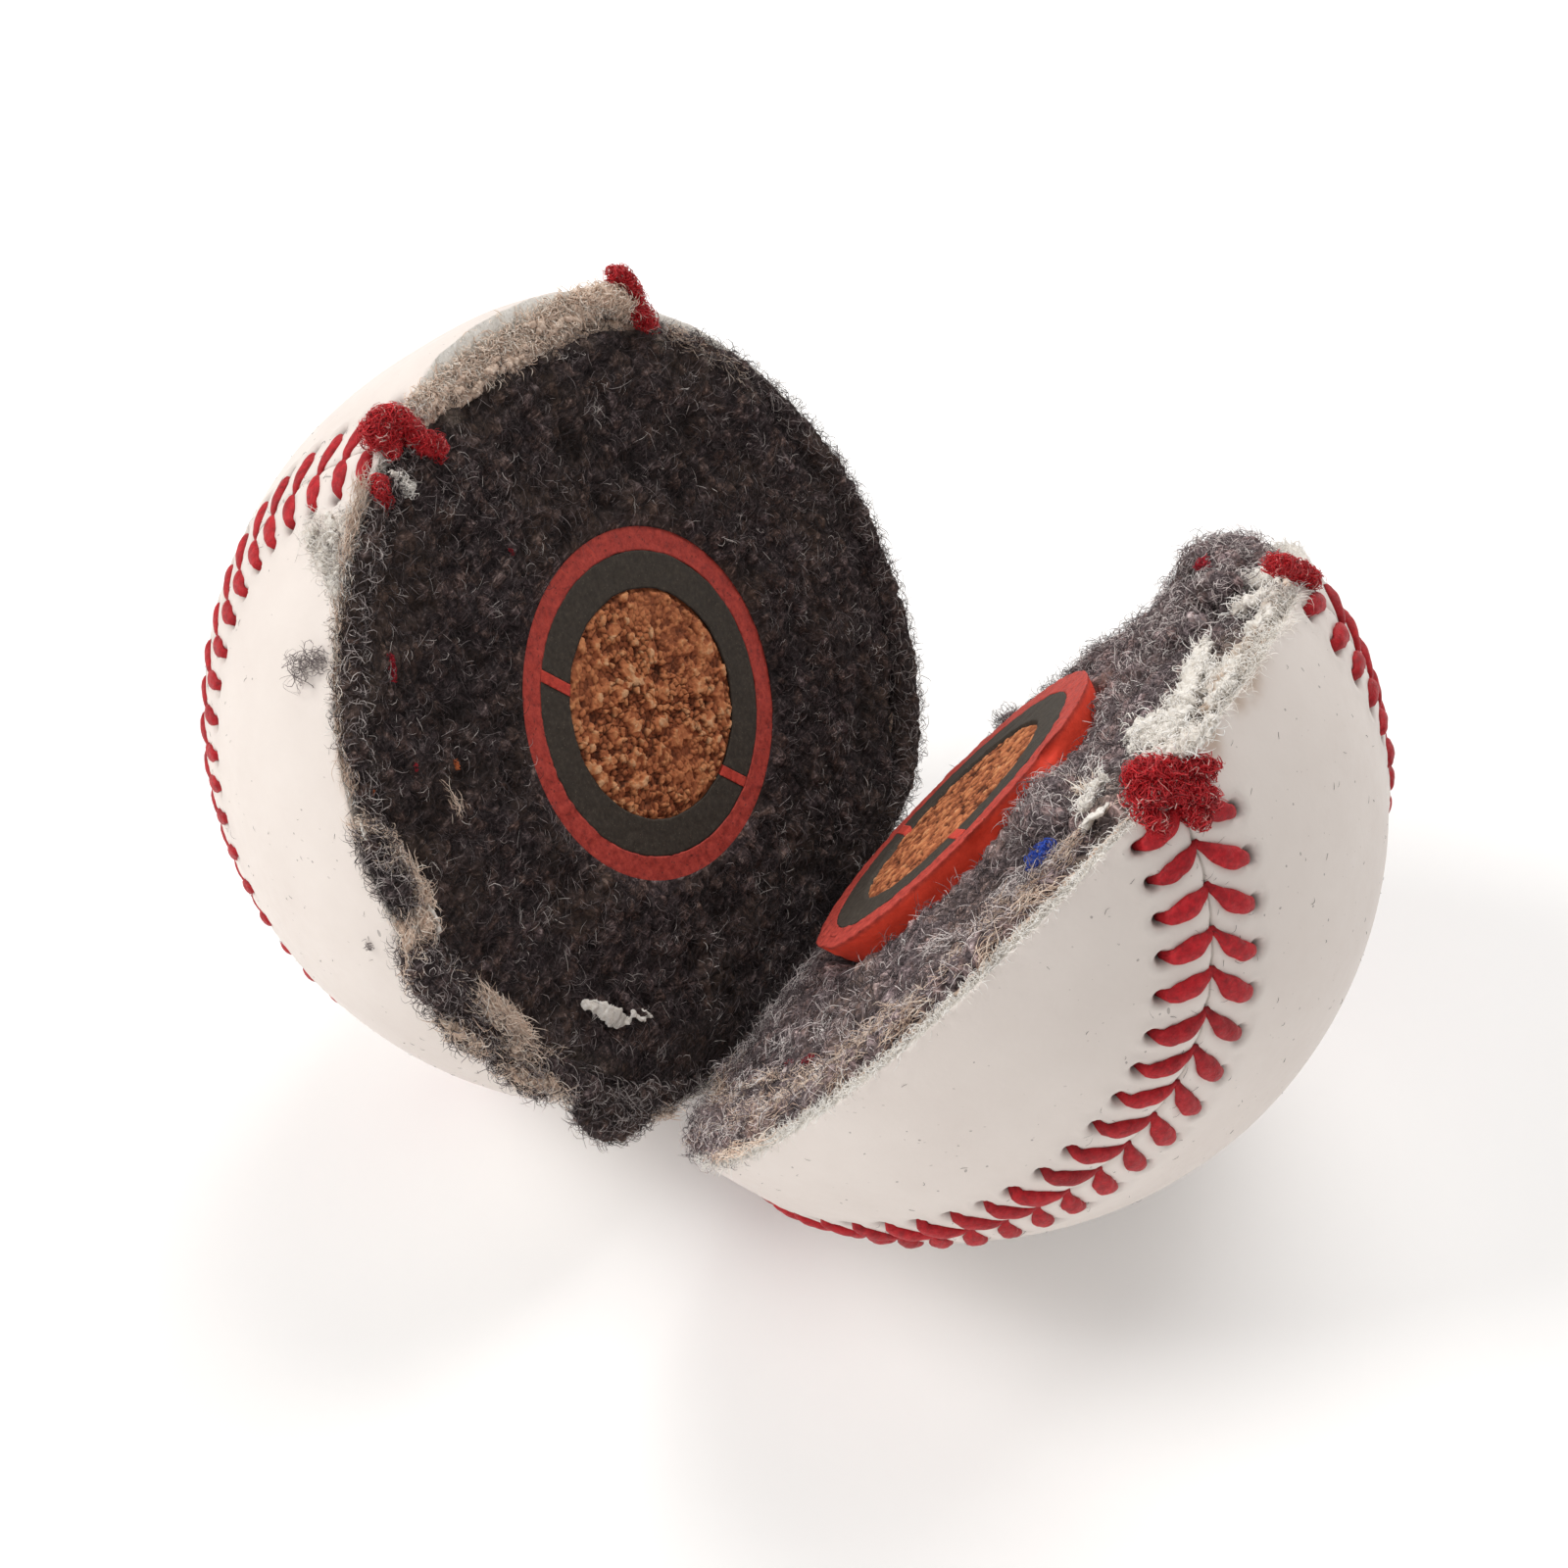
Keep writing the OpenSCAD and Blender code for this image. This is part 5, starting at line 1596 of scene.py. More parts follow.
def strands(half, out, rows, count, length, radius=0.040, spread=0.5, lo=0.25, hi=1.0, segs=8, seen=True):
    """A lock of nearly parallel pale fibres along a line seen in the picture."""
    pts = np.array([face_at(half, *w) for w in rows] if seen else rows, float)
    line = through(pts, 60)
    tl = unit(np.gradient(line, axis=0))
    k = rng.integers(4, 56, count)
    o = rng.normal(size=(count, 3)) * spread * np.array([1, 1, 0.5])
    L = length * (0.5 + rng.random(count))
    sgrid = np.linspace(-0.5, 0.5, segs)
    d = unit(tl[k] + 0.28 * rng.normal(size=(count, 3)))
    e1 = unit(np.cross(d, rng.normal(size=(count, 3))))
    w, ph = 1.0 + 2.0 * rng.random(count), rng.random(count) * 6.28
    a1 = L[:, None] * 0.10 * np.sin(w[:, None] * sgrid * 3 + ph[:, None])
    q = (line[k] + o)[:, None, :] + d[:, None] * (L[:, None] * sgrid)[..., None] + e1[:, None] * a1[..., None]
    r = radius * (0.6 + 0.7 * rng.random(count))[:, None] * (1 - 0.7 * np.abs(2 * sgrid[None]) ** 3)
    out.append(tubes(q, r, 3, tones=np.clip(lo + (hi - lo) * rng.beta(1.6, 1.2, count), 0, 1), slim=True))


pale_bits = []
for i, (rows, rr) in enumerate((
    ([(366, 838, 0.3), (378, 850, 0.7), (392, 860, 0.8), (404, 870, 0.5)], [0.3, 0.55, 0.5, 0.25]),
    ([(382, 862, 0.6), (396, 876, 1.0), (410, 890, 0.8)], [0.3, 0.6, 0.3]),
    ([(414, 886, 0.6), (426, 908, 1.2), (434, 930, 0.9)], [0.3, 0.55, 0.3]),
    ([(420, 926, 0.8), (432, 944, 1.3), (430, 962, 0.8)], [0.3, 0.7, 0.35]),
    ([(480, 1018, 0.8), (502, 1036, 1.3), (524, 1054, 1.2), (544, 1072, 0.9)], [0.25, 0.42, 0.42, 0.25]),
    ([(496, 1016, 1.0), (518, 1038, 1.5), (538, 1060, 1.1)], [0.2, 0.30, 0.2]),
    ([(410, 930, 0.5), (418, 952, 1.0), (421, 976, 1.0), (424, 1002, 0.6)], [0.25, 0.50, 0.50, 0.25]),
    ([(448, 1040, 0.3), (474, 1056, 0.9), (500, 1072, 0.8)], [0.25, 0.45, 0.25]),
    ([(508, 1084, 0.4), (532, 1096, 0.9), (558, 1106, 0.9), (580, 1112, 0.5)], [0.25, 0.42, 0.42, 0.25]),
    ([(502, 1052, 0.6), (522, 1070, 1.0), (546, 1080, 0.9), (564, 1074, 0.6)], [0.2, 0.36, 0.36, 0.2]),
    ([(532, 1082, 0.4), (554, 1098, 0.8), (576, 1110, 0.5)], [0.25, 0.45, 0.25]),
)):
    mesh, v, n = lump([face_at(LEFT, *w) for w in rows], rr, 960 + i, rows=46, cols=22, amp=0.34, size=0.6)
    # painted shade: the olive darkening follows the clump's creases
    pale_bits.append((mesh[0], mesh[1], {"olive": 0.35 * mesh[2]["pit"]}))
    left_cream.append(grow((v, n), rng, 260, 1.2, 0.040, 2.0, 0.5, np.clip(0.2 + 0.8 * rng.beta(1.6, 1.2, 260), 0, 1)))
put(LEFT, "left_yarn_clumps", pale_bits, YARN_M)
for rows, cnt, ln, sp in (
    # pale clumps from the cut edge down to the fold
    ([(366, 836, 0.4), (378, 846, 0.8), (392, 856, 0.9), (404, 868, 0.7)], 150, 2.2, 0.45),
    ([(378, 852, 0.6), (396, 872, 1.1), (412, 892, 0.9)], 150, 2.4, 0.50),
    ([(410, 880, 0.8), (424, 906, 1.2), (432, 930, 1.0)], 150, 2.4, 0.42),
    ([(424, 926, 0.8), (434, 944, 1.2), (428, 962, 0.8)], 120, 2.0, 0.40),
    ([(478, 1014, 1.1), (500, 1032, 1.5), (522, 1050, 1.4), (542, 1070, 1.1)], 200, 3.8, 0.42),
    ([(494, 1014, 1.2), (516, 1036, 1.6), (536, 1058, 1.3)], 140, 3.4, 0.30),
    ([(410, 930, 0.8), (418, 952, 1.3), (421, 976, 1.3), (424, 1002, 0.9)], 130, 2.4, 0.40),
    ([(508, 1084, 0.6), (532, 1096, 1.1), (558, 1106, 1.1), (580, 1112, 0.7)], 130, 2.8, 0.36),
    ([(500, 1048, 0.6), (520, 1068, 0.9), (544, 1078, 0.8), (562, 1072, 0.7)], 150, 3.4, 0.34),
    ([(528, 1078, 0.4), (552, 1096, 0.7), (574, 1108, 0.5)], 130, 3.0, 0.40),
    ([(556, 1096, 0.4), (576, 1112, 0.6), (592, 1122, 0.3)], 90, 2.4, 0.36),
    ([(436, 968, 0.4), (450, 992, 0.8), (468, 1004, 0.8)], 80, 2.4, 0.36),
):
    strands(LEFT, left_cream, rows, cnt, ln, 0.040, sp)
# pale fibres caught on the lower rim and the face
strands(LEFT, left_cream, [(452, 800, 0.9), (462, 815, 1.1), (470, 836, 0.9)], 26, 1.6, 0.030, 0.5, 0.1, 0.9)
strands(LEFT, left_cream, [(642, 1140, 0.5), (668, 1136, 0.8), (694, 1134, 0.8)], 90, 2.6, 0.036, 0.35, 0.1, 0.9)
strands(LEFT, left_cream, [(355, 590, 0.3), (352, 640, 0.4), (350, 700, 0.4), (354, 760, 0.4), (362, 820, 0.4)], 620, 1.8, 0.034, 0.46, -0.15, 1.0)
strands(LEFT, left_cream, [(372, 480, 0.3), (364, 520, 0.4), (356, 560, 0.4), (354, 600, 0.3)], 340, 1.5, 0.034, 0.42, -0.1, 1.0)
# brown and pale mottling right of the second tuft
strands(LEFT, left_cream, [(672, 332, 0.7), (700, 350, 0.9), (730, 366, 0.9), (760, 390, 0.8), (782, 412, 0.7)], 260, 1.7, 0.034, 0.5, 0.0, 0.95)
# white fuzz: beside the lower tuft, and the frayed leather
left_white.append(tangle([face_at(LEFT, 404, 486, 1.0), face_at(LEFT, 412, 494, 1.3), face_at(LEFT, 419, 500, 1.0)], 0.60, 42, 1.7, 0.06, rng, 4, 9, (0, 0, 1), 0.3, 1.0))
for az, el, sp, cnt in ((-146.2, -3.8, 1.5, 80), (-148.6, -1.0, 1.2, 46), (-144.0, -6.4, 1.4, 80), (-141.2, -7.6, 1.1, 60), (-150.0, -6.6, 0.9, 40)):
    left_white.append(tangle([ball_pt(LEFT, az - 1.4, el, 0.10), ball_pt(LEFT, az + 1.4, el, 0.10)], sp, cnt, 2.6, 0.026, rng, 3, 11, direction(az, el), 0.0, 1.0))
    left_hair.append(tangle([ball_pt(LEFT, az - 1.4, el, 0.10), ball_pt(LEFT, az + 1.4, el, 0.10)], sp * 1.2, cnt // 3, 2.4, 0.018, rng, 3, 11, direction(az, el), 0.45, 1.0))
put(LEFT, "left_wool_clumps", left_wool, WOOL_L)
put(LEFT, "left_wool_clump_hairs", left_hair, FIBRE_L)
put(LEFT, "left_yarn_strands", left_cream, FIBRE_CREAM)
put(LEFT, "left_leather_fuzz", left_white, FIBRE_WHITE)


def torn(half, rows, width, seed, thick=0.25, up=(0, 0, 1), ragged=0.5, on_ball=False):
    at = ball_at if on_ball else face_at
    return shred([at(half, *w) for w in rows], width, seed, thick, up, ragged=ragged)


LEATHER_TORN = leather_edge_material()
scraps = [
    # the white scrap on the face, with its crumbs
    torn(LEFT, [(596, 1024, 1.3), (610, 1028, 1.5), (628, 1038, 1.5), (642, 1044, 1.3)], [0.35, 0.75, 0.80, 0.35], 601, 0.22),
    torn(LEFT, [(640, 1046, 1.3), (646, 1034, 1.6), (654, 1040, 1.6), (664, 1036, 1.3)], [0.16, 0.28, 0.26, 0.12], 602, 0.4),
    torn(LEFT, [(656, 1030, 1.5), (662, 1034, 1.6), (666, 1040, 1.3)], [0.10, 0.16, 0.10], 603, 0.5),
    # torn bits at the lower left edge
    torn(LEFT, [(430, 922, 0.6), (440, 932, 1.3), (446, 946, 1.2), (444, 958, 0.8)], [0.3, 0.75, 0.6, 0.25], 604, 0.3, (0.3, 0.3, 0.9)),
    torn(LEFT, [(418, 930, 0.6), (424, 946, 1.3), (418, 962, 1.1), (422, 976, 0.6)], [0.3, 0.6, 0.7, 0.3], 605, 0.3, (0.2, 0.3, 0.9)),
    torn(LEFT, [(404, 898, 0.4), (412, 908, 0.9), (418, 922, 0.7)], [0.2, 0.45, 0.2], 606, 0.35, (0, 0.4, 0.9)),
    torn(LEFT, [(366, 836, 0.3), (372, 852, 0.8), (380, 866, 0.5)], [0.25, 0.5, 0.25], 608, 0.3, (0.2, 0.4, 0.9)),
    torn(LEFT, [(396, 478, 0.8), (404, 486, 1.2), (414, 488, 1.1)], [0.2, 0.35, 0.2], 607, 0.4, (0.3, 0, 0.9)),
    torn(LEFT, [(540, 1062, 0.6), (552, 1074, 1.0), (560, 1088, 0.6)], [0.15, 0.35, 0.15], 609, 0.4, (0, 0.3, 0.9)),
]
# the frayed patch where the leather's skin is rubbed through
for i, (az, el) in enumerate(((-147.6, -1.2), (-145.6, -3.4), (-143.4, -5.6), (-146.8, -5.6), (-141.6, -7.4), (-149.4, -3.6))):
    c = direction(az, el)
    a0 = direction(az - 1.8, el + 0.8) * (R - 0.02) + LEFT.c
    a1 = direction(az, el - 0.4) * (R + 0.22) + LEFT.c
    a2 = direction(az + 1.9, el - 0.9) * (R + 0.02) + LEFT.c
    scraps.append(shred([a0, a1, a2], [0.3, 0.75, 0.3], 620 + i, 0.22, tuple(c), ragged=0.8))
put(LEFT, "left_leather_scraps", scraps, LEATHER_TORN)
# flecks
put(LEFT, "left_red_flecks", [
    tangle([face_at(LEFT, 397, 668, 0.9), face_at(LEFT, 400, 682, 1.1), face_at(LEFT, 401, 692, 0.9)], 0.22, 60, 1.3, 0.05, rng, 4, 9, (0, 0, 1)),
    tangle([face_at(LEFT, 424, 780, 0.9), face_at(LEFT, 425, 786, 0.9)], 0.12, 10, 0.8, 0.04, rng, 4, 9, (0, 0, 1)),
    tangle([face_at(LEFT, 520, 560, 0.9), face_at(LEFT, 524, 566, 0.9)], 0.10, 8, 0.8, 0.035, rng, 4, 9, (0, 0, 1)),
], RED_FIBRE)
put(LEFT, "left_orange_flecks", [
    tangle([face_at(LEFT, 465, 776, 0.9), face_at(LEFT, 467, 786, 1.0)], 0.13, 18, 0.8, 0.045, rng, 4, 9, (0, 0, 1)),
    tangle([face_at(LEFT, 380, 806, 0.9), face_at(LEFT, 378, 812, 1.0)], 0.13, 16, 0.8, 0.045, rng, 4, 9, (0, 0, 1)),
], ORANGE_FIBRE)


# ---- the frayed ends of the stitching at the saw line


def red_tuft(half, name, runs, seed):
    g = np.random.default_rng(seed)
    body = [lump(pts, [sp * 0.66] * 3, seed + 5 * i, rows=46, cols=26, amp=0.20, size=0.5)[0] for i, (pts, sp, _) in enumerate(runs)]
    for b in body:
        b[2]["tone"] = np.full(len(b[0]), 0.30)
        for key in ("pit", "pale", "shade"):
            b[2].pop(key)
    hair = [tangle(pts, sp, int(cnt * 1.9), 2.0, 0.050, g, 4, 10, None, 0.05, 1.0) for pts, sp, cnt in runs]
    fine = [tangle(pts, sp * 1.2, cnt // 3, 2.4, 0.028, g, 3, 11, None, 0.2, 1.0) for pts, sp, cnt in runs]
    put(half, name, body + hair + fine, FUZZ_M)


def run(half, rows, sp, cnt, on_ball=False):
    at = ball_at if on_ball else face_at
    return ([at(half, *w) for w in rows], sp, cnt)


red_tuft(LEFT, "left_thread_end_a", [
    run(LEFT, [(381, 448, -0.2), (384, 436, 0.5), (392, 428, 0.8)], 0.95, 200),
    run(LEFT, [(392, 428, 0.8), (404, 426, 1.0), (414, 434, 1.1)], 0.85, 170),
    run(LEFT, [(384, 446, 0.4), (394, 442, 0.8), (402, 436, 0.9)], 0.75, 130),
    run(LEFT, [(396, 448, 0.7), (401, 454, 0.9), (400, 462, 0.7)], 0.50, 80),
    run(LEFT, [(418, 440, 1.1), (426, 448, 1.2), (430, 455, 1.2)], 0.80, 140),
    run(LEFT, [(430, 452, 1.2), (440, 452, 1.3), (447, 460, 1.1)], 0.75, 130),
], 701)
red_tuft(LEFT, "left_thread_end_c", [
    run(LEFT, [(386, 492, 0.6), (388, 502, 0.9), (392, 514, 0.8)], 0.62, 110),
], 702)
red_tuft(LEFT, "left_thread_end_b", [
    run(LEFT, [(624, 281, 1.0), (634, 280, 1.4), (642, 288, 1.4)], 0.62, 110),
    run(LEFT, [(640, 288, 1.4), (647, 298, 1.4), (650, 308, 1.3)], 0.60, 100),
    run(LEFT, [(648, 312, 1.2), (655, 322, 1.4), (661, 330, 1.2)], 0.85, 130),
], 703)

# ---- the right half

right_wool, right_hair, right_cream, right_white = [], [], [], []
rim_c = edge_line([(-150, 32.6, 1.0), (-138, 33.2, 1.5), (-126, 33.6, 2.1), (-114, 33.8, 1.7), (-102, 33.4, 0.4), (-90, 33.2, 0.4), (-74, 33.6, 0.5),
                   (-58, 33.8, 0.5), (-42, 34.0, 0.3), (-30, 34.0, -0.1)])
rim_d = edge_line([(30, 34.0, -0.1), (46, 34.0, 0.3), (62, 33.9, 0.4), (78, 33.8, 0.4), (94, 33.7, 0.4), (110, 33.7, 0.5), (126, 33.5, 0.6), (140, 33.4, 0.7), (150, 33.2, 0.7)])
hairy(right_wool, right_hair, rim_c, [0.8, 1.2, 1.5, 1.3, 0.9, 0.9, 1.0, 1.0, 1.0, 0.8], 550, 3200, 1.7, 0.50, 1.25, 330)
hairy(right_wool, right_hair, rim_d, [0.8, 1.0, 1.1, 1.1, 1.1, 1.1, 1.1, 1.1, 0.9], 570, 3200, 1.7, 0.50, 1.25, 330)
for pts, rr, seed, cnt in (
    # the torn crest at the top, as seen
    ([(1112, 684, 1.8), (1126, 672, 2.2), (1142, 664, 2.0)], [0.6, 0.9, 0.7], 591, 500),
    ([(1142, 668, 1.9), (1160, 658, 2.3), (1180, 652, 2.4)], [0.6, 0.8, 0.7], 5910, 600),
    ([(1190, 650, 2.4), (1200, 622, 3.0), (1206, 598, 3.6)], [0.9, 1.1, 0.8], 592, 900),
    ([(1206, 598, 3.4), (1220, 576, 4.0), (1242, 571, 4.0), (1260, 578, 3.4)], [0.9, 1.3, 1.25, 0.9], 593, 1100),
    ([(1208, 630, 2.9), (1228, 610, 3.4), (1248, 598, 3.4), (1264, 596, 2.8)], [0.9, 1.2, 1.2, 0.9], 594, 1000),
    ([(1182, 668, 2.5), (1206, 650, 2.9), (1228, 636, 2.9)], [0.8, 1.1, 0.8], 595, 800),
    ([(1146, 696, 2.2), (1168, 686, 2.5), (1190, 678, 2.4)], [0.7, 1.0, 0.7], 596, 700),
    ([(1124, 730, 2.0), (1146, 722, 2.3), (1166, 716, 2.2)], [0.7, 1.0, 0.8], 597, 600),
    ([(1060, 816, 2.6), (1084, 808, 3.2), (1104, 806, 2.6)], [0.8, 1.2, 0.8], 598, 600),
    ([(1040, 846, 2.4), (1066, 836, 2.9), (1088, 836, 2.4)], [0.8, 1.2, 0.8], 599, 600),
    # over the leather's corner beside the fold
    ([(738, 1098, 0.6), (750, 1100, 0.9), (764, 1098, 0.8)], [0.7, 1.0, 0.8], 5601, 400),
    ([(712, 1158, -0.3), (722, 1165, 0.1), (736, 1170, 0.3), (760, 1170, 0.5)], [0.7, 1.1, 1.1, 0.8], 5602, 900),
    ([(716, 1142, 0.4), (742, 1146, 0.9), (772, 1142, 0.9), (796, 1128, 0.7)], [0.9, 1.2, 1.2, 0.8], 5603, 900),
):
    hairy(right_wool, right_hair, [face_at(RIGHT, *q) for q in pts], rr, seed, cnt, 1.6, 0.50, 1.0, 80, light=0.36)
# the knob of wool behind the core
hairy(right_wool, right_hair, edge_line([(-58, 33.4, 0.4), (-59, 32.8, 1.7), (-60, 32.3, 2.9)]), [1.0, 0.85, 0.6], 600, 420, 1.4, 0.45, 0.9, 60, light=0.36)


def rim_fibres(half, az0, az1, count, out, length, radius, g, height=0.0, spread=0.35, lean_out=0.6, lo=0.0):
    """Fine fibres standing out of the leather's cut edge."""
    az = az0 + g.random(count) * (az1 - az0)
    el = rim_el(half, az) - g.random(count) * 0.3
    p = direction(az, el) * (R - 0.05 - g.random(count)[:, None] * LEATHER * 0.9) + half.c + np.array([0, 0, height])
    n = unit(np.array([0, 0, 1.0]) + lean_out * direction(az, 0 * az) + spread * g.normal(size=(count, 3)))
    ok = p[:, 0] < CUT_DEPTH - 0.4
    out.append(fibres(p[ok], n[ok], g, length, radius, 1.8, length * 0.5, 5, np.clip(lo + (1 - lo) * g.beta(1.6, 1.2, ok.sum()), 0, 1)))


g = np.random.default_rng(81)
rim_fibres(RIGHT, 30, 156, 3400, right_white, 1.0, 0.030, g, 0.0, 0.45, 0.35, 0.3)
rim_fibres(RIGHT, 168, 200, 700, right_white, 1.5, 0.026, g, 0.1, 0.5)
rim_fibres(RIGHT, -160, -30, 900, right_white, 1.0, 0.024, g)
g = np.random.default_rng(82)
left_more = []
rim_fibres(LEFT, -178, -120, 1500, left_more, 1.1, 0.028, g)
rim_fibres(LEFT, -120, -30, 800, left_more, 1.0, 0.024, g)
rim_fibres(LEFT, 140, 182, 500, left_more, 0.7, 0.024, g)
put(LEFT, "left_rim_fibres", left_more, FIBRE_WHITE)

# pale and pinkish strands where the wool meets the leather
for az in np.arange(32, 152, 3.2):
    a0 = az + 2.0 * rng.normal()
    r0 = 33.7 + 0.5 * rng.normal()
    turn = rng.normal() * 0.9
    q = edge_line([(a0 - 2.2, r0 - turn, 0.9), (a0, r0, 1.3), (a0 + 2.2, r0 + turn, 0.9)])
    strands(RIGHT, right_cream, q, 36, 2.0 + rng.random(), 0.034, 0.45, -0.2, 1.0, seen=False)
for az in np.arange(56, 152, 3.0):
    a0 = az + 1.5 * rng.normal()
    r0 = 33.0 + 0.9 * rng.normal()
    q = edge_line([(a0 - 2.6, r0 + 0.8 * rng.normal(), 1.1), (a0, r0, 1.6), (a0 + 2.6, r0 + 0.8 * rng.normal(), 1.1)])
    strands(RIGHT, right_cream, q, 30, 2.2, 0.036, 0.38, 0.0, 1.0, seen=False)
for az in np.arange(34, 150, 7.0):
    a0 = az + 3.0 * rng.normal()
    q = edge_line([(a0 - 3, 31.0 + rng.normal(), 1.5), (a0, 32.0 + rng.normal(), 1.9), (a0 + 3, 32.6, 1.6)])
    strands(RIGHT, right_cream, q, 26, 2.4, 0.030, 0.6, 0.0, 0.8, seen=False)
for k in range(34):
    a0, r0 = 20 + 140 * rng.random(), 20.5 + 12.5 * rng.random() ** 0.7
    lean = rng.normal()
    aa, rr = np.radians([a0 - 2.4, a0, a0 + 2.4]), np.array([r0 - lean, r0, r0 + lean])
    q = np.stack([rr * np.cos(aa), rr * np.sin(aa), wool_height(RIGHT, rr * np.cos(aa), rr * np.sin(aa))[0] + 0.25], 1)
    strands(RIGHT, right_hair, q, 26, 2.2, 0.028, 0.5, 0.55, 1.0, seen=False)
# the pale strand that curls over from the edge
strands(RIGHT, right_cream, [(1108, 826, 1.6), (1112, 812, 2.4), (1098, 806, 3.0), (1080, 802, 3.2), (1058, 806, 2.8)], 170, 3.6, 0.050, 0.26, 0.6, 1.0)
strands(RIGHT, right_cream, [(1118, 820, 1.4), (1122, 806, 2.2), (1112, 800, 2.6)], 80, 2.6, 0.036, 0.26, 0.5, 1.0)
put(RIGHT, "right_wool_clumps", right_wool, WOOL_R)
put(RIGHT, "right_wool_clump_hairs", right_hair, FIBRE_R)

# torn leather round the far end of the rim, as seen
up_out = tuple(direction(165, -25))
torn_bits = [
    torn(RIGHT, [(1098, 850, 1.4), (1112, 838, 2.0), (1128, 822, 1.8)], [0.3, 0.7, 0.4], 6161, 0.40, (-0.4, 0.3, 0.9)),
    torn(RIGHT, [(718, 1147, 0.5), (728, 1142, 1.1), (740, 1138, 1.0)], [0.4, 0.9, 0.4], 617, 0.30, (0.1, 0.5, 0.9)),
]
for i, (rows, rr, stain) in enumerate((
    ([(1150, 766, 0.4), (1172, 756, 0.8), (1196, 746, 0.8), (1216, 740, 0.5)], [0.5, 1.0, 1.0, 0.5], 0.0),
    ([(1152, 752, 0.4), (1174, 742, 0.8), (1198, 730, 0.9), (1214, 716, 0.6)], [0.3, 0.8, 0.8, 0.4], 0.0),
    ([(1168, 776, 0.2), (1194, 768, 0.5), (1220, 754, 0.5), (1240, 734, 0.3)], [0.5, 1.0, 1.0, 0.6], 0.2),
    ([(1198, 728, 0.5), (1210, 706, 0.8), (1220, 684, 0.9), (1230, 654, 0.9)], [0.5, 0.8, 0.7, 0.2], 0.0),
    ([(1208, 690, 0.6), (1222, 684, 1.0), (1240, 690, 0.7)], [0.2, 0.5, 0.3], 0.0),
    ([(1228, 730, 0.3), (1244, 706, 0.6), (1258, 680, 0.6), (1274, 654, 0.4)], [0.6, 0.9, 0.8, 0.4], 0.8),
    ([(1216, 712, 0.5), (1236, 700, 0.7), (1252, 682, 0.6)], [0.4, 0.7, 0.4], 0.5),
    ([(1250, 610, 0.5), (1268, 598, 0.8), (1288, 592, 0.7), (1304, 596, 0.3)], [0.3, 0.8, 0.8, 0.4], 0.0),
    ([(1258, 628, 0.5), (1280, 614, 0.7), (1302, 604, 0.3)], [0.3, 0.7, 0.4], 0.2),
    ([(1272, 656, 0.3), (1288, 634, 0.5), (1304, 610, 0.3)], [0.4, 0.8, 0.4], 0.6),
    ([(1104, 826, 0.5), (1116, 806, 0.8), (1130, 790, 0.5)], [0.2, 0.4, 0.2], 0.0),
)):
    mesh, v, n = lump([on_wool(RIGHT, *w) for w in rows], rr, 611 + 7 * i, rows=90, cols=34, amp=0.60, size=0.50, flatten=0.50, up=(0.0, 0.0, 1.0))
    brown = stain * smooth(fbm(v, 1.2, 3, 44), -0.2, 0.4)
    torn_bits.append((mesh[0], mesh[1], {"stain": brown, "painted_shade": 0.5 * mesh[2]["pit"]}))
    cnt = int(60 + 130 * max(rr))
    right_white.append(grow((v, n), rng, cnt, 1.2, 0.048, 1.8, 0.5, np.clip(0.3 + 0.7 * rng.beta(1.8, 1.0, cnt), 0, 1)))
put(RIGHT, "right_leather_scraps", torn_bits, LEATHER_TORN)
for rows, cnt, ln in (
    ([(717, 1141, 0.6), (728, 1132, 1.2), (744, 1120, 1.4)], 110, 2.6),
    ([(704, 1160, 0.6), (728, 1150, 1.4), (752, 1140, 1.6), (776, 1130, 1.4)], 120, 2.6),
    ([(724, 1176, 0.6), (748, 1176, 1.2), (772, 1166, 1.2), (796, 1150, 0.9)], 120, 2.6),
    ([(740, 1124, 1.5), (770, 1108, 1.9), (800, 1094, 1.9)], 90, 2.4),
    ([(792, 1136, 1.0), (822, 1112, 1.4), (850, 1094, 1.4)], 110, 2.4),
):
    strands(RIGHT, right_cream, rows, cnt, ln, 0.036, 0.42, 0.15, 0.95)
put(RIGHT, "right_yarn_strands", right_cream, FIBRE_CREAM)
put(RIGHT, "right_leather_fuzz", right_white, FIBRE_WHITE)
put(RIGHT, "right_blue_fleck", [tangle([face_at(RIGHT, 1052, 882, 2.4), face_at(RIGHT, 1060, 872, 2.8), face_at(RIGHT, 1070, 862, 2.6)], 0.42, 48, 1.8, 0.042, rng, 3, 9)], BLUE_FIBRE)
put(RIGHT, "right_red_flecks", [
    tangle([face_at(RIGHT, 798, 1088, 1.3), face_at(RIGHT, 812, 1086, 1.6)], 0.30, 46, 1.5, 0.036, rng, 3, 9),
    tangle([face_at(RIGHT, 822, 1084, 1.4), face_at(RIGHT, 830, 1080, 1.6)], 0.32, 46, 1.5, 0.036, rng, 3, 9),
    tangle([face_at(RIGHT, 1222, 578, 5.0), face_at(RIGHT, 1228, 574, 5.6), face_at(RIGHT, 1234, 572, 5.4)], 0.36, 34, 1.6, 0.042, rng, 3, 9),
], RED_FIBRE)
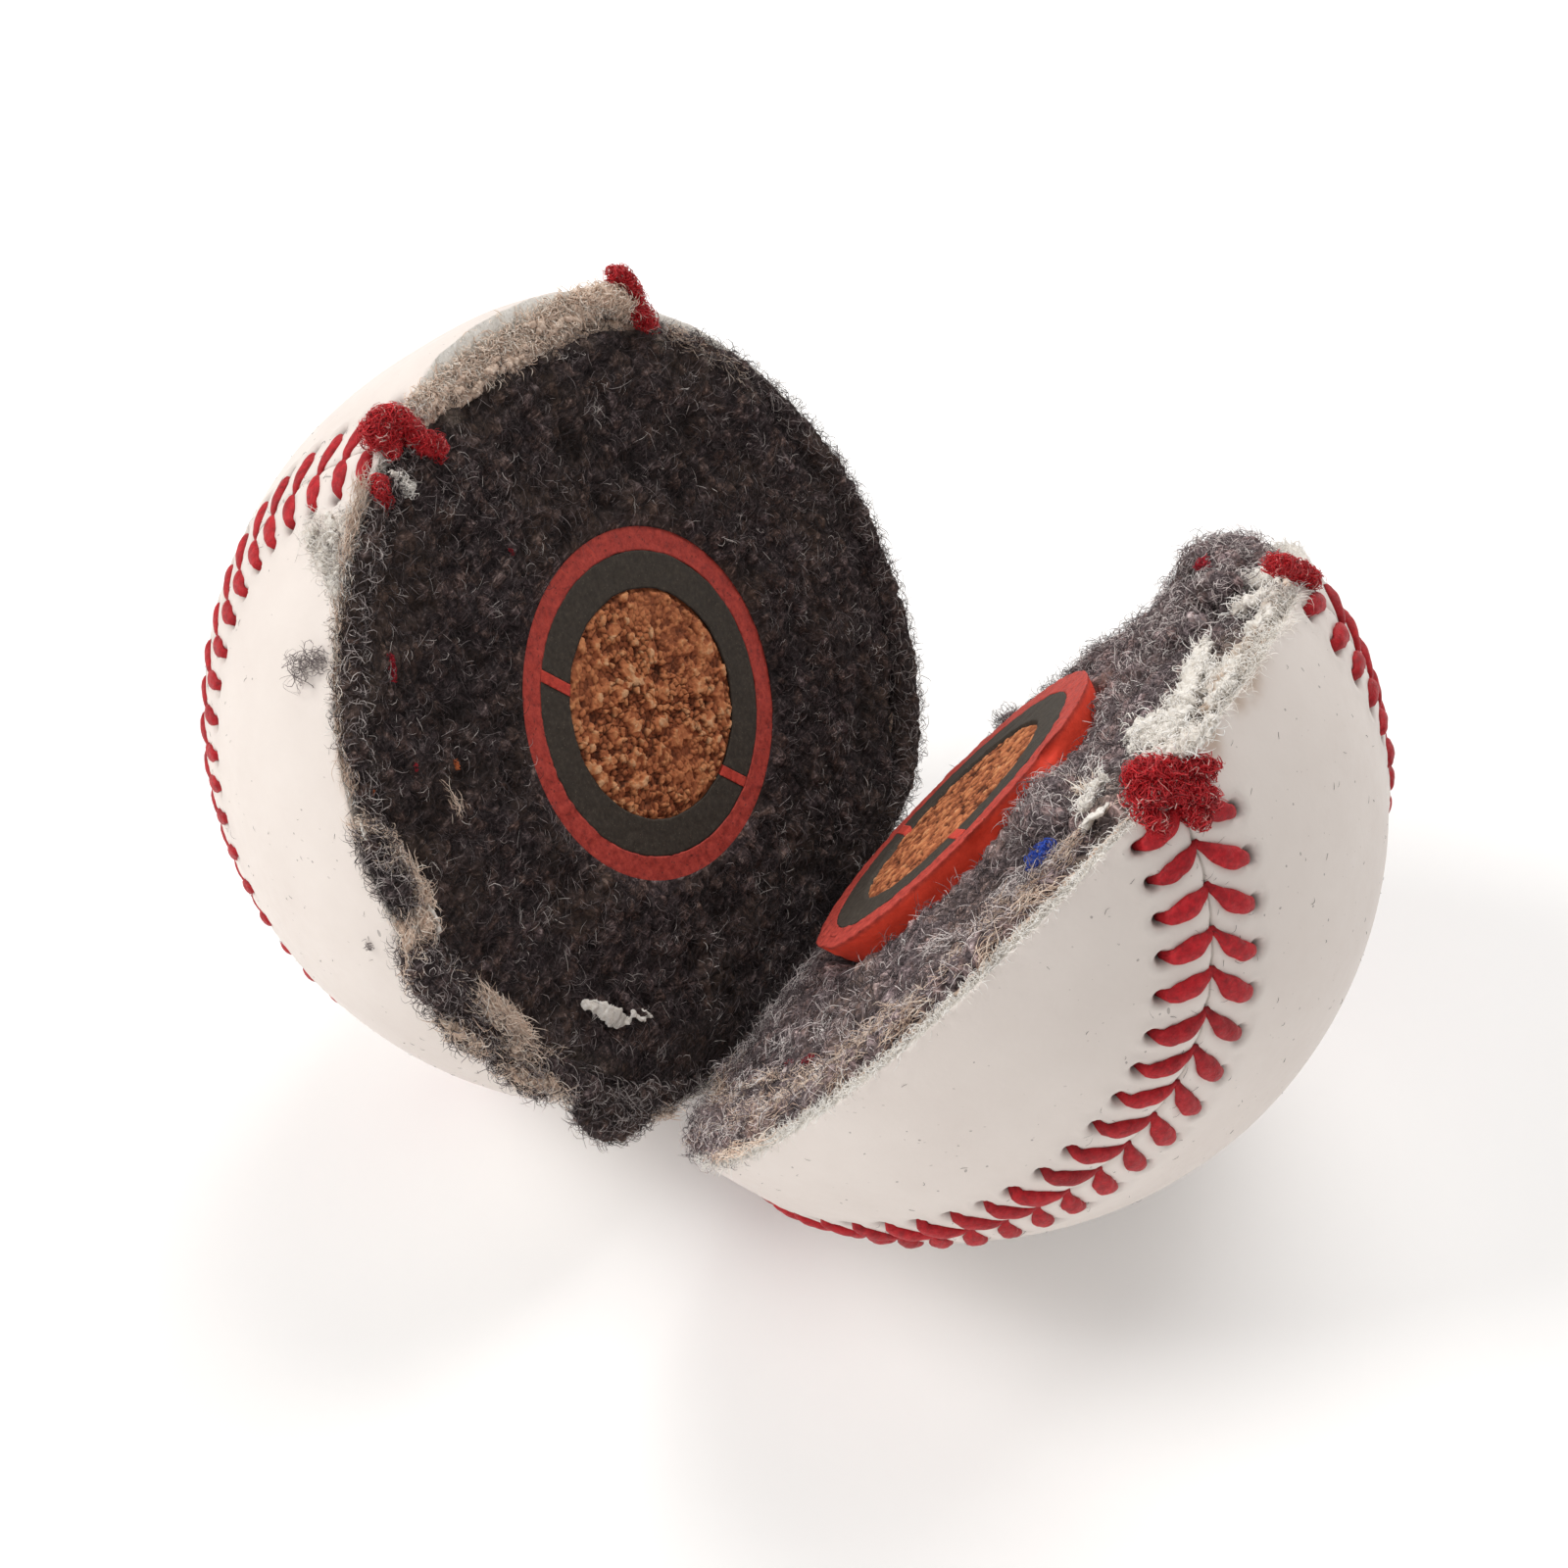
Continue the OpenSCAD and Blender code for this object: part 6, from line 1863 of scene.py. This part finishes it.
red_tuft(RIGHT, "right_thread_end_a", [
    run(RIGHT, [(1158, 792, 0.4), (1176, 786, 0.9), (1196, 790, 0.9)], 0.95, 200, True),
    run(RIGHT, [(1160, 812, 0.3), (1180, 808, 0.8), (1200, 808, 0.8)], 0.95, 200, True),
    run(RIGHT, [(1166, 828, 0.2), (1178, 836, 0.5), (1186, 846, 0.4)], 0.62, 100, True),
    run(RIGHT, [(1200, 786, 0.6), (1218, 782, 0.7), (1234, 784, 0.4)], 0.75, 140, True),
    run(RIGHT, [(1204, 806, 0.6), (1220, 808, 0.7), (1236, 818, 0.4)], 0.80, 150, True),
    run(RIGHT, [(1206, 824, 0.4), (1218, 832, 0.5), (1228, 838, 0.3)], 0.60, 90, True),
], 704)
red_tuft(RIGHT, "right_thread_end_b", [
    run(RIGHT, [(1296, 576, 0.4), (1308, 576, 0.8), (1320, 580, 0.6)], 0.6, 110, True),
    run(RIGHT, [(1322, 580, 0.5), (1330, 586, 0.7), (1338, 592, 0.5)], 0.7, 120, True),
], 705)

# fine dark hairs and dust lying on the leather, finer ones along the seam
for h, seed in ((LEFT, 951), (RIGHT, 952)):
    g = np.random.default_rng(seed)
    n = 620
    v = unit(g.normal(size=(n, 3)))
    v = v[-np.degrees(np.arcsin(v[:, 2])) > rim_el(h, np.degrees(np.arctan2(v[:, 1], v[:, 0]))) + 1.0]
    u, s_ = seam_place(h, v)
    hh, _ = leather_heights(h, v, u, s_)
    p = v * (R + hh + 0.09)[:, None] + h.c
    parts = [fibres(p, v, g, 0.55, 0.017, 1.4, 0.10, 4, 0.35 * g.random(len(p)))]
    u = g.uniform(h.stitches.min(), h.stitches.max(), 420)
    s_ = g.normal(0, 2.4, 420)
    p = on_seam(h, u, s_, 0.16 + 0 * u)
    ok = p[:, 2] < -0.5
    nn = unit(p[ok] - h.c)
    parts.append(fibres(p[ok], nn, g, 1.0, 0.015, 1.2, 0.25, 5, 0.5 * g.random(ok.sum())))
    put(h, f"{h.name}_dust_hairs", parts, FIBRE_L)


# ---------------------------------------------------------------- the fold


def fold_edge(half, y):
    """Where the leather of a half ends at the fold, in world mm, with the way
    its surface runs on from there."""
    t = np.empty_like(y)
    k = math.tan(rad(BEVEL))
    # (CUT_DEPTH + k t)^2 + y^2 + (t + cz)^2 = R^2, the point being t below the face
    a = k * k + 1
    b = 2 * CUT_DEPTH * k + 2 * half.cz
    c = CUT_DEPTH**2 + y * y + half.cz**2 - R * R
    t = np.maximum((-b + np.sqrt(np.maximum(b * b - 4 * a * c, 0))) / (2 * a), 0.02)
    p = np.stack([CUT_DEPTH + k * t, y, -t], 1)
    n = unit(p - half.c)
    d = np.array([-math.sin(rad(BEVEL)), 0, -math.cos(rad(BEVEL))])
    out = unit(np.cross(np.cross(n, -d), n))
    past = np.array([math.cos(rad(BEVEL)), 0, math.sin(rad(BEVEL))])
    way = unit(past - np.sum(past * n, 1, keepdims=True) * n)
    return half.world(p) * 1000, half.turn(way), half.turn(n), t / math.cos(rad(BEVEL)), out


def hinge():
    ys = np.linspace(-16.3, 16.3, 150)
    L, lw, ln, ld, _ = fold_edge(LEFT, ys)
    Rp, rw, rn, rd, _ = fold_edge(RIGHT, -ys)
    depth = 0.587 * (ld + rd) / 2
    C = np.stack([0.25 * (L[:, 0] + Rp[:, 0]), ys, fold_z - depth], 1)
    # start a little inside each panel, so there is no gap
    start, end = L - lw * 0.9 - ln * 0.10, Rp - rw * 0.9 - rn * 0.10
    across = unit(end - start)
    n = 34
    s = np.linspace(0, 1, n)[None, :, None]

    def herm(a, ta, b, tb):
        return ((2 * s**3 - 3 * s**2 + 1) * a[:, None] + (s**3 - 2 * s**2 + s) * ta[:, None]
                + (-2 * s**3 + 3 * s**2) * b[:, None] + (s**3 - s**2) * tb[:, None])

    dl = np.linalg.norm(C - start, axis=1, keepdims=True)
    dr = np.linalg.norm(end - C, axis=1, keepdims=True)
    one = herm(start, lw * dl * 1.1, C, across * dl * 0.9)
    two = herm(C, across * dr * 0.9, end, -rw * dr * 1.1)
    mid = np.concatenate([one, two[:, 1:]], 1)
    rows, cols, _ = mid.shape
    tx = np.gradient(mid, axis=1)
    ty = np.gradient(mid, axis=0)
    nn = unit(np.cross(tx, ty))
    nn[nn[..., 2] > 0] *= -1
    flat = mid.reshape(-1, 3)
    crease = np.abs(np.linspace(-1, 1, cols))[None, :] * np.ones((rows, 1))
    wr = 0.22 * fbm(flat * np.array([2.2, 0.5, 2.2]), 1.6, 3, 801).reshape(rows, cols) * (1 - crease**2)
    outer = mid + nn * wr[..., None]
    thick = 1.15 - 0.35 * np.abs(np.linspace(-1, 1, rows))[:, None, None] ** 6
    inner = mid - nn * (thick + 0.12 * fbm(flat, 0.9, 3, 802).reshape(rows, cols)[..., None])
    v = np.concatenate([outer.reshape(-1, 3), inner.reshape(-1, 3)])
    m = rows * cols
    f = grid_faces(rows, cols, False)
    i = np.arange(m).reshape(rows, cols)
    border = np.concatenate([i[0, :], i[1:, -1], i[-1, -2::-1], i[-2:0:-1, 0]])
    nxt = np.roll(border, -1)
    walls = np.stack([border, nxt, nxt + m, border + m], 1)
    # painted shade down the middle of the strip, in the bottom of the fold
    fold_shade = np.concatenate([0.35 * (1 - smooth(crease, 0.0, 0.35)).ravel() * (0.6 + 0.4 * fbm(flat, 1.0, 3, 803)), np.zeros(m)])
    ob = build("hinge_leather_strip", v, [np.concatenate([f, f[:, ::-1] + m, walls])], None, [LEATHER_M, EDGE_M],
               np.concatenate([np.zeros(len(f)), np.ones(len(f) + len(walls))]), True,
               {"painted_shade": np.clip(fold_shade, 0, 1), "stain": np.zeros(2 * m)})
    import bmesh

    bm = bmesh.new()
    bm.from_mesh(ob.data)
    bmesh.ops.recalc_face_normals(bm, faces=bm.faces[:])
    bm.to_mesh(ob.data)
    bm.free()
    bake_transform(ob)
    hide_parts("hinge_leather")
    # the wool that still joins the halves
    parts, hairs = [], []
    g = np.random.default_rng(91)
    for pts, rr, seed in (
        ([(-0.3, -16.0, fold_z - 0.4), (0.2, -9.0, fold_z - 0.3), (-0.3, 0, fold_z - 0.4), (0.3, 9.0, fold_z - 0.3), (0.0, 16.0, fold_z - 0.4)], [1.3, 1.9, 1.7, 1.9, 1.3], 811),
        ([(-1.4, -14.6, fold_z + 0.3), (-0.8, -8.0, fold_z + 0.6), (-1.2, -2.0, fold_z + 0.4)], [0.9, 1.3, 0.9], 812),
        ([(1.0, -15.4, fold_z - 0.1), (1.4, -11.0, fold_z + 0.5), (0.9, -6.0, fold_z + 0.3)], [0.9, 1.3, 0.9], 813),
        ([(0.2, 3.0, fold_z + 0.3), (0.9, 8.0, fold_z + 0.6), (0.4, 14.0, fold_z + 0.3)], [0.9, 1.2, 0.9], 814),
        ([(-0.2, -14.0, fold_z - 1.8), (0.3, 0.0, fold_z - 2.2), (-0.2, 14.0, fold_z - 1.8)], [1.2, 1.8, 1.2], 815),
    ):
        mesh, v, n = lump(pts, rr, seed, rows=150, amp=0.45, size=1.1)
        parts.append(mesh)
        hairs.append(grow((v, n), g, 1300, 1.7, 0.030, 1.8, 0.6, two_tone(g, 1300)))
    for name, data, mat in (("hinge_wool_felt", parts, WOOL_L), ("hinge_wool_hairs", hairs, FIBRE_L)):
        v, f, val = join(data)
        ob = build(name, v, f, None, [mat], None, True, val)
        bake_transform(ob)
        if name == "hinge_wool_felt":
            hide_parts("hinge_wool")


hinge()

# ---------------------------------------------------------------- floor, light, camera


def floor():
    me = bpy.data.meshes.new("floor")
    s = 3.0
    me.from_pydata([(-s, -s, 0), (s, -s, 0), (s, s, 0), (-s, s, 0)], [], [(0, 1, 2, 3)])
    ob = bpy.data.objects.new("floor", me)
    bpy.context.scene.collection.objects.link(ob)
    # the floor glows faintly: a painted fill light that lightens its shadows and lights the ball from below
    m = Mat("floor_white_glowing", Roughness=0.8, Specular_IOR_Level=0.2, Emission_Strength=0.09)
    me.materials.append(m.out(m.ramp(m.noise(0.002, 2.0), [(0.3, (0.90, 0.895, 0.89)), (0.7, (0.92, 0.915, 0.91))])))


floor()

scene = bpy.context.scene
world = bpy.data.worlds.new("studio")
scene.world = world
world.use_nodes = True
bg = world.node_tree.nodes["Background"]
bg.inputs["Color"].default_value = (1.0, 0.99, 0.98, 1)
bg.inputs["Strength"].default_value = 0.34


def softbox(name, at, aim, size, power, colour=(1, 1, 1)):
    d = bpy.data.lights.new(name, "AREA")
    d.shape, d.size, d.size_y = "RECTANGLE", size[0], size[1]
    d.energy, d.color = power, colour
    ob = bpy.data.objects.new(name, d)
    scene.collection.objects.link(ob)
    ob.location = at
    ob.rotation_euler = (Vector(aim) - Vector(at)).to_track_quat("-Z", "Y").to_euler()
    return ob


softbox("key", (-0.80, -0.46, 0.92), (0, 0, 0.03), (0.60, 0.60), 10.6, (1.0, 0.985, 0.965))
softbox("back", (0.05, 0.84, 1.08), (0, 0, 0.03), (1.0, 1.0), 12.5, (1.0, 0.99, 0.98))
softbox("front", (0.30, -1.05, 0.60), (0, 0, 0.03), (0.9, 0.9), 2.5, (1.0, 0.985, 0.97))

cam = bpy.data.cameras.new("camera")
cam.lens, cam.sensor_width, cam.clip_start, cam.clip_end = 54.0, 36.0, 0.01, 20.0
cam_ob = bpy.data.objects.new("camera", cam)
scene.collection.objects.link(cam_ob)
cam_ob.matrix_world = Matrix(
    [[CAM_RIGHT[k], CAM_UP[k], CAM_BACK[k], CAM[k] * 0.001] for k in range(3)] + [[0, 0, 0, 1]]
)
scene.camera = cam_ob
scene.view_settings.view_transform = "Standard"
scene.view_settings.look = "None"
